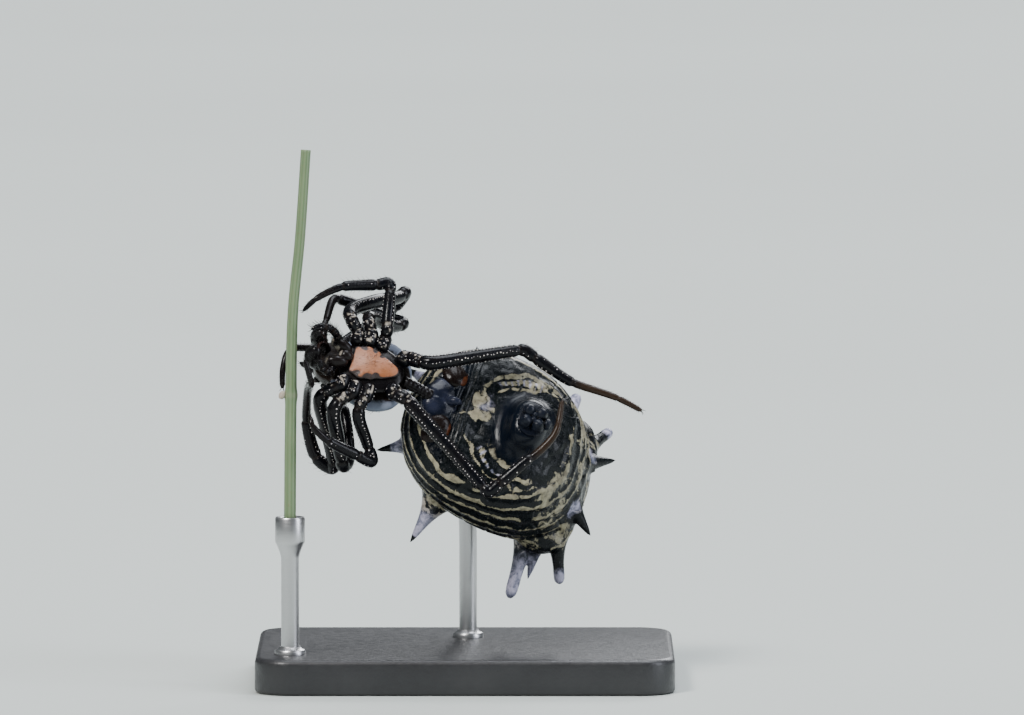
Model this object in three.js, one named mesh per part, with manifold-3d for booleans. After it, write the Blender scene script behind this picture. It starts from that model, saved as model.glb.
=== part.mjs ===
// A spined orb weaver (Micrathena gracilis, adult female), life size, gripping a cut grass stem
// with its head to the left and its belly to the viewer, on a plain display stand.
// Millimetres, +Z up, the viewer on the -Y side. Origin: middle of the underside of the base.
import * as THREE from "three";
import { mergeVertices } from "three/addons/utils/BufferGeometryUtils.js";
import Module from "manifold-3d";

const wasm = await Module();
wasm.setup();

// Driving dimensions
const GAP = 0.3; // clearance kept between neighbouring pieces
const BASE_LENGTH = 14;
const BASE_DEPTH = 10;
const BASE_HEIGHT = 1.2;
const BASE_CORNER = 1.2;
const BASE_EDGE = 0.2;
const ROD_RADIUS = 0.3;
const STEM_RADIUS = 0.26;
const SOCKET_RADIUS = 0.5;
const SOCKET_HEIGHT = 0.9;
const CARAPACE_LENGTH = 3.35;
const CARAPACE_HALF_WIDTH = 1.3;
const CARAPACE_HEIGHT = 1.0; // above its own margin
const STERNUM_LENGTH = 1.9;
const STERNUM_HALF_WIDTH = 0.72;
const COXA_RADIUS = 0.3;
const PLATE_TOP = 0.4; // the belly plate's depth, sternum to carapace side
const EYE_RADIUS = 0.13;
const PEDICEL_RADIUS = 0.28;
const FEMUR_RADIUS = 0.26;
const TIBIA_RADIUS = 0.25;
const TARSUS_RADIUS = 0.25;
const CLAW_RADIUS = 0.14;
const PALP_RADIUS = 0.25;
const CHELICERA_RADIUS = 0.3;
const SPINE_SIDES = 6;
const LEG_SIDES = 8;

// How each half of the body is turned, in degrees. A body frame has x to the head, y to the
// animal's left and z to its back. Unturned, the head points left, the back away, the left side up.
const VIEW_PITCH = 5; // the whole animal leans back by this, as seen from a little above
const PROSOMA_TURN = { roll: 30, noseAway: 0, noseUp: 17.6 };
const ABDOMEN_TURN = { roll: 27, noseAway: -5, noseUp: 21.3 };
const STERNUM_PLACE = [-3.1, -2.6, 10.9]; // the middle of the sternum, in the stand's frame
const SPINNERET_PLACE = [5.43, -0.2, -1.73]; // from the sternum, to the right, away and up

const COLOURS = {
  black: new THREE.MeshStandardMaterial({ color: 0x14161a, roughness: 0.3 }),
  brown: new THREE.MeshStandardMaterial({ color: 0x2a1c14, roughness: 0.3 }),
  sternum: new THREE.MeshStandardMaterial({ color: 0xd98a5b, roughness: 0.5 }),
  abdomen: new THREE.MeshStandardMaterial({ color: 0x3b4038, roughness: 0.45 }),
  stem: new THREE.MeshStandardMaterial({ color: 0x7f9a62, roughness: 0.6 }),
  base: new THREE.MeshStandardMaterial({ color: 0x2f2b28, roughness: 0.5 }),
  steel: new THREE.MeshStandardMaterial({
    color: 0x9a9c9e,
    roughness: 0.35,
    metalness: 1,
  }),
};

// Closed meshes and manifold solids

function solidOf(geometry) {
  const bare = new THREE.BufferGeometry();
  bare.setAttribute("position", geometry.getAttribute("position"));
  if (geometry.index) bare.setIndex(geometry.index);
  const merged = mergeVertices(bare, 1e-5);
  const mesh = new wasm.Mesh({
    numProp: 3,
    vertProperties: new Float32Array(merged.attributes.position.array),
    triVerts: new Uint32Array(merged.index.array),
  });
  return new wasm.Manifold(mesh);
}

function geometryOf(manifold) {
  const mesh = manifold.getMesh();
  const geometry = new THREE.BufferGeometry();
  geometry.setAttribute(
    "position",
    new THREE.BufferAttribute(mesh.vertProperties, 3),
  );
  geometry.setIndex(new THREE.BufferAttribute(mesh.triVerts, 1));
  geometry.computeVertexNormals();
  return geometry;
}

// Joins closed geometries and keeps the largest closed surface of the result.
function joined(geometries) {
  const whole = geometries.map(solidOf).reduce((a, b) => a.add(b));
  return largest(whole);
}

function largest(manifold) {
  return manifold
    .decompose()
    .reduce((a, b) => (b.volume() > a.volume() ? b : a));
}

// A closed skin over rings that all have the same number of points, a fan at each end.
function loft(rings) {
  const sides = rings[0].length;
  const points = rings.flat();
  const middle = (ring) =>
    ring.reduce((sum, p) => sum.add(p), new THREE.Vector3()).divideScalar(sides);
  const index = [];
  for (let r = 0; r + 1 < rings.length; r++) {
    for (let i = 0; i < sides; i++) {
      const a = r * sides + i;
      const b = r * sides + ((i + 1) % sides);
      index.push(a, b, a + sides, b, b + sides, a + sides);
    }
  }
  const first = points.push(middle(rings[0])) - 1;
  const last = points.push(middle(rings[rings.length - 1])) - 1;
  const start = (rings.length - 1) * sides;
  for (let i = 0; i < sides; i++) {
    const next = (i + 1) % sides;
    index.push(first, next, i, last, start + i, start + next);
  }
  const geometry = new THREE.BufferGeometry().setFromPoints(points);
  geometry.setIndex(index);
  return geometry;
}

const vector = (p) => new THREE.Vector3(...p);

// A round tube along a smooth path, its radius read off a list spread evenly over the path.
function tube(path, radii, sides = LEG_SIDES, steps = 3 * (path.length - 1)) {
  const curve = new THREE.CatmullRomCurve3(path.map(vector), false, "centripetal");
  const frames = curve.computeFrenetFrames(steps, false);
  const rings = [];
  for (let s = 0; s <= steps; s++) {
    const along = (s / steps) * (radii.length - 1);
    const low = Math.min(Math.floor(along), radii.length - 2);
    const radius = THREE.MathUtils.lerp(radii[low], radii[low + 1], along - low);
    const centre = curve.getPointAt(s / steps);
    const ring = [];
    for (let i = 0; i < sides; i++) {
      const turn = (2 * Math.PI * i) / sides;
      ring.push(
        centre
          .clone()
          .addScaledVector(frames.normals[s], radius * Math.cos(turn))
          .addScaledVector(frames.binormals[s], radius * Math.sin(turn)),
      );
    }
    rings.push(ring);
  }
  return loft(rings);
}

// A cone, pointed unless its end is given, its root sunk into what it grows from.
function spine(root, tip, radius, end = 0.06) {
  const middle = vector(root).lerp(vector(tip), 0.5).toArray();
  return tube([root, middle, tip], [radius, 0.72 * radius, end], SPINE_SIDES, 2);
}

// An ellipsoid of few faces.
function lobe(centre, radii, columns = 8, rows = 6) {
  const geometry = new THREE.SphereGeometry(1, columns, rows);
  geometry.scale(...radii);
  geometry.translate(...centre);
  return geometry;
}

// A ring of the given half sizes, squarer than an ellipse where power is over 2.
function ring(sides, power, place) {
  const points = [];
  for (let i = 0; i < sides; i++) {
    const turn = (2 * Math.PI * i) / sides;
    const c = Math.cos(turn);
    const s = Math.sin(turn);
    const across = Math.sign(c) * Math.abs(c) ** (2 / power);
    const up = Math.sign(s) * Math.abs(s) ** (2 / power);
    points.push(place(across, up));
  }
  return points;
}

function mesh(name, geometry, material) {
  const made = new THREE.Mesh(geometry, material);
  made.name = name;
  return made;
}

// A group whose children are placed in a body frame, turned as the body is.
function bodyGroup(turn) {
  const unturned = new THREE.Matrix4().makeBasis(
    new THREE.Vector3(-1, 0, 0),
    new THREE.Vector3(0, 0, 1),
    new THREE.Vector3(0, 1, 0),
  );
  const angles = new THREE.Euler(
    THREE.MathUtils.degToRad(-turn.roll),
    THREE.MathUtils.degToRad(turn.noseUp),
    THREE.MathUtils.degToRad(-turn.noseAway),
    "YZX",
  );
  const group = new THREE.Group();
  group.quaternion
    .setFromEuler(angles)
    .multiply(new THREE.Quaternion().setFromRotationMatrix(unturned));
  return group;
}

// Cephalothorax, in its body frame, from the middle of the sternum

const COXA_ALONG = [0.74, 0.3, -0.16, -0.98]; // legs 1 to 4, towards the head
const COXA_ASIDE = [0.84, 0.96, 0.94, 0.56];
const COXA_DEPTH = 0.25;

// Where the carapace's own sections stand, as shares of its size, from the front to the back.
const CARAPACE_SECTIONS = [
  { along: 0.5, width: 0.34, top: 0.42 },
  { along: 0.46, width: 0.46, top: 0.78 },
  { along: 0.36, width: 0.55, top: 0.97 },
  { along: 0.22, width: 0.64, top: 1.0 },
  { along: 0.08, width: 0.87, top: 0.86 },
  { along: -0.1, width: 1.0, top: 0.8 },
  { along: -0.28, width: 0.94, top: 0.72 },
  { along: -0.42, width: 0.7, top: 0.5 },
  { along: -0.5, width: 0.4, top: 0.26 },
];
const CARAPACE_MIDDLE = 0.25; // its middle, ahead of the sternum's

function carapace() {
  const margin = PLATE_TOP + GAP;
  const sections = CARAPACE_SECTIONS.map(({ along, width, top }) => {
    const x = CARAPACE_MIDDLE + along * CARAPACE_LENGTH;
    const place = (across, up) =>
      new THREE.Vector3(
        x,
        -across * width * CARAPACE_HALF_WIDTH,
        margin + (up > 0 ? up * top * CARAPACE_HEIGHT : 0.12 * up),
      );
    return ring(14, 2.2, place);
  });
  return joined([loft(sections), ...eyes(margin)]);
}

// Two rows of four eyes on the front of the head.
function eyes(margin) {
  const front = CARAPACE_MIDDLE + 0.44 * CARAPACE_LENGTH;
  const rows = [
    { x: front, z: margin + 0.72 * CARAPACE_HEIGHT, asides: [0.18, 0.48] },
    { x: front - 0.28, z: margin + 0.93 * CARAPACE_HEIGHT, asides: [0.2, 0.54] },
  ];
  return rows.flatMap(({ x, z, asides }) =>
    asides.flatMap((aside) =>
      [-1, 1].map((side) => {
        const centre = [x - 0.25 * aside, side * aside, z - 0.3 * aside * aside];
        return lobe(centre, [EYE_RADIUS, EYE_RADIUS, EYE_RADIUS], 6, 4);
      }),
    ),
  );
}

function bellyPlate() {
  const shield = new THREE.Shape();
  shield.moveTo(0.42 * STERNUM_LENGTH, -0.55 * STERNUM_HALF_WIDTH);
  shield.lineTo(0.42 * STERNUM_LENGTH, 0.55 * STERNUM_HALF_WIDTH);
  shield.lineTo(0.2 * STERNUM_LENGTH, STERNUM_HALF_WIDTH);
  shield.lineTo(-0.15 * STERNUM_LENGTH, 0.85 * STERNUM_HALF_WIDTH);
  shield.lineTo(-0.58 * STERNUM_LENGTH, 0.12 * STERNUM_HALF_WIDTH);
  shield.lineTo(-0.58 * STERNUM_LENGTH, -0.12 * STERNUM_HALF_WIDTH);
  shield.lineTo(-0.15 * STERNUM_LENGTH, -0.85 * STERNUM_HALF_WIDTH);
  shield.lineTo(0.2 * STERNUM_LENGTH, -STERNUM_HALF_WIDTH);
  shield.closePath();
  const sternum = new THREE.ExtrudeGeometry(shield, { depth: PLATE_TOP, bevelEnabled: false });
  const pieces = [sternum];
  for (const side of [-1, 1]) {
    COXA_ALONG.forEach((along, i) => {
      const aside = side * COXA_ASIDE[i];
      pieces.push(lobe([along, aside, COXA_DEPTH], [COXA_RADIUS, 1.25 * COXA_RADIUS, 0.27]));
    });
    pieces.push(lobe([1.12, 0.3 * side, 0.1], [0.42, 0.27, 0.33]));
  }
  pieces.push(lobe([0.85, 0, 0.1], [0.3, 0.25, 0.28]));
  const above = new THREE.BoxGeometry(6, 6, 2);
  above.translate(0, 0, PLATE_TOP + 1);
  return largest(joined(pieces).subtract(solidOf(above)));
}

function chelicera(side) {
  const path = [
    [1.88, 0.38 * side, 0.4],
    [1.98, 0.4 * side, 0.05],
    [1.86, 0.3 * side, -0.42],
  ];
  return tube(path, [0.24, CHELICERA_RADIUS, 0.27, 0.12], LEG_SIDES, 5);
}

function prosoma() {
  const group = bodyGroup(PROSOMA_TURN);
  group.add(
    mesh("carapace", geometryOf(carapace()), COLOURS.brown),
    mesh("sternum", geometryOf(bellyPlate()), COLOURS.sternum),
    mesh("chelicera_left", chelicera(1), COLOURS.black),
    mesh("chelicera_right", chelicera(-1), COLOURS.black),
  );
  return group;
}

// Abdomen, in its body frame, from the tips of the spinnerets

// Levels from the spinneret mound to the back: how high each lies, how far it reaches to the
// front, the rear and the side, and how much it climbs towards the rear.
const ABDOMEN_LEVELS = [
  { height: 0.45, front: 0.5, rear: 0.5, side: 0.7, climb: 0 },
  { height: 0.85, front: 0.72, rear: 0.72, side: 0.98, climb: 0 },
  { height: 1.25, front: 0.95, rear: 0.95, side: 1.25, climb: 0.02 },
  { height: 1.3, front: 3.1, rear: 1.25, side: 2.05, climb: 0.03 },
  { height: 1.75, front: 3.6, rear: 1.75, side: 2.6, climb: 0.03 },
  { height: 2.5, front: 3.9, rear: 2.3, side: 2.92, climb: 0.06 },
  { height: 3.3, front: 3.95, rear: 2.8, side: 2.95, climb: 0.12 },
  { height: 4.0, front: 3.85, rear: 3.0, side: 2.75, climb: 0.2 },
  { height: 4.4, front: 3.5, rear: 2.8, side: 2.35, climb: 0.24 },
  { height: 4.6, front: 2.6, rear: 1.9, side: 1.5, climb: 0.26 },
];
const ABDOMEN_SIDES = 28;
const MOUND_TOP = ABDOMEN_LEVELS[0].height;

// Pairs of spines: root and tip as [to the head, aside, to the back], and the root's radius.
const SPINES = [
  { root: [3.3, 1.2, 3.0], tip: [4.35, 1.65, 3.5], radius: 0.34 },
  { root: [1.8, 2.3, 3.9], tip: [2.15, 3.9, 4.5], radius: 0.45 },
  { root: [-1.5, 1.8, 4.6], tip: [-1.72, 4.05, 5.45], radius: 0.48, end: 0.2 },
  { root: [-1.9, 1.9, 4.6], tip: [-2.1, 3.2, 5.35], radius: 0.4 },
  { root: [-2.4, 1.6, 4.4], tip: [-3.15, 3.05, 5.1], radius: 0.45, end: 0.18 },
  { root: [-2.3, 0.7, 3.6], tip: [-3.5, 1.5, 3.95], radius: 0.45 },
  { root: [-2.2, 0.4, 3.5], tip: [-2.95, 0.68, 3.65], radius: 0.3 },
];
const HUMP = { centre: [-1.8, 1.9, 4.35], radii: [0.95, 0.75, 0.6] }; // under the rear spines

function abdomen() {
  const levels = ABDOMEN_LEVELS.map(({ height, front, rear, side, climb }) => {
    const middle = (front - rear) / 2;
    const half = (front + rear) / 2;
    const place = (across, up) => {
      const x = middle + across * half;
      return new THREE.Vector3(x, up * side, height - climb * x);
    };
    return ring(ABDOMEN_SIDES, 2.3, place);
  });
  const pieces = [loft(levels)];
  for (const side of [-1, 1]) {
    const to = ([x, y, z]) => [x, side * y, z];
    for (const { root, tip, radius, end } of SPINES) {
      pieces.push(spine(to(root), to(tip), radius, end));
    }
    pieces.push(lobe(to(HUMP.centre), HUMP.radii));
  }
  return joined(pieces);
}

const SPINNERET_PAIRS = [
  { along: 0.21, aside: 0.23, long: 0.34 },
  { along: -0.25, aside: 0.26, long: 0.37 },
];

// Two pairs of spinnerets on one low disc.
function spinnerets() {
  const foot = MOUND_TOP - GAP;
  const disc = [[0, 0, foot], [0, 0, foot - 0.12], [0, 0, foot - 0.24]];
  const pieces = [tube(disc, [0.5, 0.48, 0.4], 10, 2)];
  for (const { along, aside, long } of SPINNERET_PAIRS) {
    for (const side of [-1, 1]) {
      const root = [along, side * aside, foot - 0.12];
      const tip = [0.8 * along, 0.6 * side * aside, foot - 0.12 - long];
      const middle = vector(root).lerp(vector(tip), 0.5).toArray();
      pieces.push(tube([root, middle, tip], [0.2, 0.19, 0.1], 7, 2));
    }
  }
  return joined(pieces);
}

function opisthosoma() {
  const group = bodyGroup(ABDOMEN_TURN);
  group.position.set(...SPINNERET_PLACE);
  group.add(
    mesh("abdomen", geometryOf(abdomen()), COLOURS.abdomen),
    mesh("spinnerets", geometryOf(spinnerets()), COLOURS.black),
  );
  return group;
}

// Legs, palps and waist, in the viewer's directions from the middle of the sternum:
// [to the right, away, up]. Each limb's list follows it from the body to the tip.

const LEGS = {
  left_1: {
    femur: [[-0.68, 0.72, 1.42], [-0.74, 1.2, 1.72], [0.0, 2.3, 2.04], [0.85, 3.8, 2.22]],
    tibia: [[1.05, 4.25, 2.36], [0.72, 4.5, 1.92], [-1.1, 2.85, 0.6]],
    tarsus: [[-1.32, 2.55, 0.45], [-2.75, 0.85, 0.42], [-2.98, 0.55, -0.2], [-3.0, 0.5, -0.85]],
  },
  left_2: {
    femur: [[-0.12, 0.98, 1.35], [-0.1, 1.25, 1.5], [0.4, 2.35, 1.33], [0.78, 3.1, 1.24]],
    tibia: [[0.98, 3.5, 1.34], [0.6, 3.6, 1.46], [-1.0, 2.7, 2.1]],
    tarsus: [[-1.3, 2.42, 2.14], [-1.55, 1.75, 1.45], [-1.7, 1.2, 0.98]],
  },
  left_3: {
    femur: [[0.5, 0.7, 1.14], [0.51, 0.8, 1.4], [0.58, 1.2, 2.25]],
    tibia: [[0.55, 1.45, 2.66], [0.2, 1.38, 2.62], [-0.85, 0.85, 2.57]],
    tarsus: [[-1.15, 0.72, 2.5], [-1.88, 0.5, 2.13], [-2.3, 0.4, 1.74]],
  },
  left_4: {
    femur: [[1.6, 0.25, 0.05], [1.95, 0.05, 0.0], [3.4, 0.55, 0.2], [4.72, 1.15, 0.4]],
    tibia: [[5.08, 1.28, 0.42], [5.4, 1.25, 0.2], [6.55, 1.1, -0.58]],
    tarsus: [[6.87, 1.05, -0.72], [8.2, 0.8, -1.18], [9.0, 0.7, -1.6]],
  },
  right_1: {
    femur: [[-1.44, -0.05, -0.92], [-1.72, 0.1, -1.2], [-1.52, 1.0, -2.2], [-1.34, 1.75, -3.16]],
    tibia: [[-1.36, 2.15, -3.52], [-1.86, 2.2, -3.2], [-2.2, 2.0, -2.1]],
    tarsus: [[-2.22, 1.82, -1.78], [-2.14, 0.55, -0.85], [-2.02, -0.85, -0.62], [-2.22, -1.06, 0.1]],
  },
  right_2: {
    femur: [[-1.02, -0.45, -1.22], [-1.26, -0.48, -1.58], [-1.15, 0.0, -2.5], [-1.05, 0.3, -3.1]],
    tibia: [[-0.95, 0.65, -3.45], [-0.8, 1.0, -3.2], [-0.95, 1.75, -1.65]],
    tarsus: [[-1.05, 2.05, -1.4], [-1.8, 2.2, -0.4], [-2.4, 1.3, 0.0]],
  },
  right_3: {
    femur: [[-0.38, -0.45, -1.4], [-0.44, -0.42, -1.75], [-0.15, 0.2, -2.72]],
    tibia: [[0.0, 0.1, -3.28], [-0.45, -0.25, -3.1], [-1.35, -0.8, -2.65]],
    tarsus: [[-1.6, -0.95, -2.48], [-1.95, -1.05, -2.1], [-2.05, -0.9, -1.75]],
  },
  right_4: {
    femur: [[1.12, -0.38, -1.18], [1.4, -0.45, -1.5], [2.6, -0.6, -2.85], [3.6, -0.75, -4.0]],
    tibia: [[3.9, -0.8, -4.28], [4.2, -0.8, -4.05], [5.15, -0.75, -3.25]],
    tarsus: [[5.45, -0.7, -3.05], [6.1, -0.55, -2.35], [6.35, -0.1, -1.25]],
  },
};

const SEGMENT_RADII = {
  femur: [0.24, FEMUR_RADIUS, FEMUR_RADIUS, 0.24],
  tibia: [0.24, TIBIA_RADIUS, 0.24],
  tarsus: [TARSUS_RADIUS, 0.24, 0.2, CLAW_RADIUS],
};

const PALPS = {
  left: [[-1.38, -0.4, 1.15], [-1.7, -0.62, 1.2], [-2.02, -0.7, 1.12]],
  right: [[-1.5, -0.43, -0.28], [-1.68, -0.68, -0.12], [-1.74, -0.86, 0.1]],
};

const PEDICEL_PATH = [[1.48, 0.6, -0.84], [1.62, 0.66, -0.92]];

function limbs() {
  const group = new THREE.Group();
  for (const [leg, segments] of Object.entries(LEGS)) {
    for (const [segment, path] of Object.entries(segments)) {
      const name = "leg_" + leg + "_" + segment;
      group.add(mesh(name, tube(path, SEGMENT_RADII[segment]), COLOURS.black));
    }
  }
  for (const [side, path] of Object.entries(PALPS)) {
    const geometry = tube(path, [0.2, PALP_RADIUS, 0.15]);
    group.add(mesh("palp_" + side, geometry, COLOURS.black));
  }
  const waist = tube(PEDICEL_PATH, [PEDICEL_RADIUS, PEDICEL_RADIUS], LEG_SIDES, 1);
  group.add(mesh("pedicel", waist, COLOURS.black));
  return group;
}

// Grass stem, in the same directions

const STEM_PATH = [
  [-2.2, -0.1, 7.1],
  [-2.4, -0.1, 4.1],
  [-2.63, -0.1, 1.7],
  [-2.7, -0.1, -1.5],
  [-2.73, -0.1, -5.2],
];

function stem() {
  return tube(STEM_PATH, [0.25, STEM_RADIUS, STEM_RADIUS], 10, 12);
}

// Stand

function standBase() {
  const x = BASE_LENGTH / 2 - BASE_EDGE;
  const y = BASE_DEPTH / 2 - BASE_EDGE;
  const outline = new THREE.Shape();
  outline.absarc(x - BASE_CORNER, y - BASE_CORNER, BASE_CORNER, 0, Math.PI / 2);
  outline.absarc(BASE_CORNER - x, y - BASE_CORNER, BASE_CORNER, Math.PI / 2, Math.PI);
  outline.absarc(BASE_CORNER - x, BASE_CORNER - y, BASE_CORNER, Math.PI, 1.5 * Math.PI);
  outline.absarc(x - BASE_CORNER, BASE_CORNER - y, BASE_CORNER, 1.5 * Math.PI, 2 * Math.PI);
  const geometry = new THREE.ExtrudeGeometry(outline, {
    depth: BASE_HEIGHT - 2 * BASE_EDGE,
    bevelThickness: BASE_EDGE,
    bevelSize: BASE_EDGE,
    bevelSegments: 1,
    curveSegments: 5,
  });
  geometry.translate(0, 0, BASE_EDGE);
  return geometryOf(solidOf(geometry));
}

// The point of the stand's frame where a point of the animal's frame lies.
function inStand(point) {
  return vector(point)
    .applyAxisAngle(new THREE.Vector3(1, 0, 0), THREE.MathUtils.degToRad(-VIEW_PITCH))
    .add(vector(STERNUM_PLACE));
}

// Upright rod with a socket round the lower end of the stem.
function stemRod() {
  const foot = inStand(STEM_PATH[STEM_PATH.length - 1]);
  const bottom = BASE_HEIGHT + GAP;
  const top = foot.z - GAP;
  const at = (z) => [foot.x, foot.y, z];
  const rod = tube([at(bottom), at((bottom + top) / 2), at(top)], [ROD_RADIUS, ROD_RADIUS], 10, 2);
  const cup = tube(
    [at(top - SOCKET_HEIGHT), at(top - SOCKET_HEIGHT / 2), at(top)],
    [ROD_RADIUS, SOCKET_RADIUS, SOCKET_RADIUS],
    10,
    2,
  );
  return joined([rod, cup]);
}

const BACK_PAD = [0.6, 0, 4.44 + GAP]; // where it meets the back, in the abdomen's frame

// Rod that rises behind the abdomen and bends forward to meet the middle of its back squarely.
function bodyRod() {
  const turned = bodyGroup(ABDOMEN_TURN);
  const back = new THREE.Vector3(...BACK_PAD);
  const out = new THREE.Vector3(0.25, 0, 1).normalize(); // the back climbs to the rear
  const place = (distance) =>
    inStand(
      back
        .clone()
        .addScaledVector(out, distance)
        .applyQuaternion(turned.quaternion)
        .add(vector(SPINNERET_PLACE))
        .toArray(),
    );
  const pad = place(0);
  const elbow = place(1.1);
  const foot = [elbow.x, elbow.y, BASE_HEIGHT + GAP];
  const path = [
    foot,
    [elbow.x, elbow.y, elbow.z - 2.5],
    [elbow.x, elbow.y - 0.05, elbow.z - 0.9],
    place(0.75).toArray(),
    pad.toArray(),
  ];
  return tube(path, [ROD_RADIUS, ROD_RADIUS], 10, 14);
}

// The whole

const model = new THREE.Group();
const animal = new THREE.Group();
animal.position.set(...STERNUM_PLACE);
animal.rotation.x = THREE.MathUtils.degToRad(-VIEW_PITCH);
animal.add(prosoma(), opisthosoma(), limbs(), mesh("perch_stem", stem(), COLOURS.stem));
model.add(
  animal,
  mesh("stand_base", standBase(), COLOURS.base),
  mesh("stand_rod_stem", geometryOf(stemRod()), COLOURS.steel),
  mesh("stand_rod_body", bodyRod(), COLOURS.steel),
);

export default model;
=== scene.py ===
"""A spined orb weaver, life size, gripping a cut grass stem on a plain display stand.

Pieces are shaped in millimetres, in one of three frames, and then put into the row's frame in
metres. Body frames have x to the head, y to the animal's left and z to its back. The viewer's
frame has x to the right, y away and z up, from the middle of the sternum.
"""

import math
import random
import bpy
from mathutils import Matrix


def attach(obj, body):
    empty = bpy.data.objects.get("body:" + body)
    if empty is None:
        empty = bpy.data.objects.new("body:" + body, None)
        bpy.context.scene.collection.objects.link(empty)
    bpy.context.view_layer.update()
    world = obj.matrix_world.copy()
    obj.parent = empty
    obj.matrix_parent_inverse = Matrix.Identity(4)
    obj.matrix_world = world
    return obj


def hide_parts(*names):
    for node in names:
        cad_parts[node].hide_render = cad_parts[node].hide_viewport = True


bl_info = {
    "name": "Spined orb weaver",
    "version": (1, 0, 0),
    "blender": (4, 5, 0),
    "location": "View3D > Sidebar > Orb weaver",
    "description": "Dresses the packed model of a spined orb weaver on its stand",
    "category": "Object",
}

import bpy
import numpy as np
from mathutils import Matrix, Vector, kdtree, noise

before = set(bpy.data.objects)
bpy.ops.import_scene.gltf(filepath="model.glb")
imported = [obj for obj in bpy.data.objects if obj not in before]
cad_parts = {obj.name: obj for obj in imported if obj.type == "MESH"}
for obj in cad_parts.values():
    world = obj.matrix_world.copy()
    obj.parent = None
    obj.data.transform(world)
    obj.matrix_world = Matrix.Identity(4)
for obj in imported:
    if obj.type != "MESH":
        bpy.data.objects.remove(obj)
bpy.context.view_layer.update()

MM = 0.001
VIEW_PITCH = 5.0
STERNUM_PLACE = (-3.1, -2.6, 10.9)
SPINNERET_PLACE = (5.43, -0.2, -1.73)
BODY = "root"
MERGE_DISTANCE = 0.0001
RNG = random.Random(41)


def turned(roll, nose_away, nose_up):
    """The turn from a body frame to the viewer's frame, from angles in degrees."""
    unturned = Matrix(((-1, 0, 0), (0, 0, 1), (0, 1, 0)))
    turn = Matrix.Rotation(math.radians(nose_up), 3, "Y")
    turn = turn @ Matrix.Rotation(math.radians(-nose_away), 3, "Z")
    turn = turn @ Matrix.Rotation(math.radians(-roll), 3, "X")
    return (turn @ unturned).to_4x4()


FROM_VIEW = (
    Matrix.Translation(Vector(STERNUM_PLACE) * MM)
    @ Matrix.Rotation(math.radians(-VIEW_PITCH), 4, "X")
    @ Matrix.Diagonal((MM, MM, MM, 1))
)
PROSOMA = turned(30, 0, 17.6)
ABDOMEN = Matrix.Translation(SPINNERET_PLACE) @ turned(27, -5, 21.3)
FROM_STAND = Matrix.Diagonal((MM, MM, MM, 1))


# Meshes


def deselect():
    bpy.ops.object.select_all(action="DESELECT")


def activate(piece):
    deselect()
    piece.select_set(True)
    bpy.context.view_layer.objects.active = piece


def points_of(piece):
    flat = np.empty(3 * len(piece.data.vertices))
    piece.data.vertices.foreach_get("co", flat)
    return flat.reshape(-1, 3)


def normals_of(piece):
    flat = np.empty(3 * len(piece.data.vertices))
    piece.data.vertices.foreach_get("normal", flat)
    return flat.reshape(-1, 3)


def set_points(piece, points):
    piece.data.vertices.foreach_set("co", np.asarray(points, dtype=float).ravel())
    piece.data.update()


def raise_points(piece, push):
    """Moves each vertex out along its normal."""
    set_points(piece, points_of(piece) + normals_of(piece) * push[:, None])


def cover(material, *pieces):
    for piece in pieces:
        piece.data.materials.append(material)


def outward(piece):
    """Merges doubles and turns every face outwards."""
    activate(piece)
    bpy.ops.object.mode_set(mode="EDIT")
    bpy.ops.mesh.select_all(action="SELECT")
    bpy.ops.mesh.remove_doubles(threshold=MERGE_DISTANCE)
    bpy.ops.mesh.normals_make_consistent(inside=False)
    bpy.ops.object.mode_set(mode="OBJECT")
    bpy.ops.object.shade_smooth()


def apply_modifier(piece, kind, **settings):
    activate(piece)
    modifier = piece.modifiers.new(kind.lower(), kind)
    for key, value in settings.items():
        setattr(modifier, key, value)
    bpy.ops.object.modifier_apply(modifier=modifier.name)


def join(name, pieces):
    activate(pieces[0])
    for piece in pieces:
        piece.select_set(True)
    bpy.ops.object.join()
    pieces[0].name = name
    return pieces[0]


def table(at, stops, values):
    """Reads a smooth curve through the stops at each place."""
    stops = np.asarray(stops, dtype=float)
    values = np.asarray(values, dtype=float)
    slope = np.gradient(values, stops)
    at = np.clip(at, stops[0], stops[-1])
    i = np.clip(np.searchsorted(stops, at, side="right") - 1, 0, len(stops) - 2)
    width = stops[i + 1] - stops[i]
    t = (at - stops[i]) / width
    first = (1 + 2 * t) * (1 - t) ** 2 * values[i] + t * (1 - t) ** 2 * width * slope[i]
    second = t * t * (3 - 2 * t) * values[i + 1] + t * t * (t - 1) * width * slope[i + 1]
    return first + second


def curve_at(at, pairs):
    """Reads a smooth curve through pairs of a stop and a value at each place."""
    return table(at, *zip(*pairs))


def step_up(value, low, high):
    """0 below low, 1 above high, smooth between."""
    t = np.clip((value - low) / (high - low), 0, 1)
    return t * t * (3 - 2 * t)


def bell(value, width):
    """1 where the value is 0, and less to both sides of it."""
    return np.exp(-((value / width) ** 2))


def noise_at(points, scale, seed=0.0):
    """Smooth noise from -1 to 1 at each point."""
    return np.array([noise.noise(Vector(p) * scale + Vector((seed, seed, 0))) for p in points])


def rounded(turn, power):
    """Cosine and sine of a turn, squarer than a circle where power is over 2."""
    c, s = np.cos(turn), np.sin(turn)
    return np.sign(c) * np.abs(c) ** (2 / power), np.sign(s) * np.abs(s) ** (2 / power)


def skin(name, columns, rows, place):
    """A closed skin from a sphere: place(along, turn) gives the point for each of its vertices,
    along from 0 at one pole to 1 at the other."""
    deselect()
    bpy.ops.mesh.primitive_uv_sphere_add(segments=columns, ring_count=rows, radius=1)
    piece = bpy.context.object
    piece.name = name
    start = points_of(piece)
    along = np.arccos(np.clip(start[:, 2], -1, 1)) / np.pi
    turn = np.arctan2(start[:, 1], start[:, 0])
    set_points(piece, np.stack(place(along, turn), axis=1))
    outward(piece)
    return piece


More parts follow.
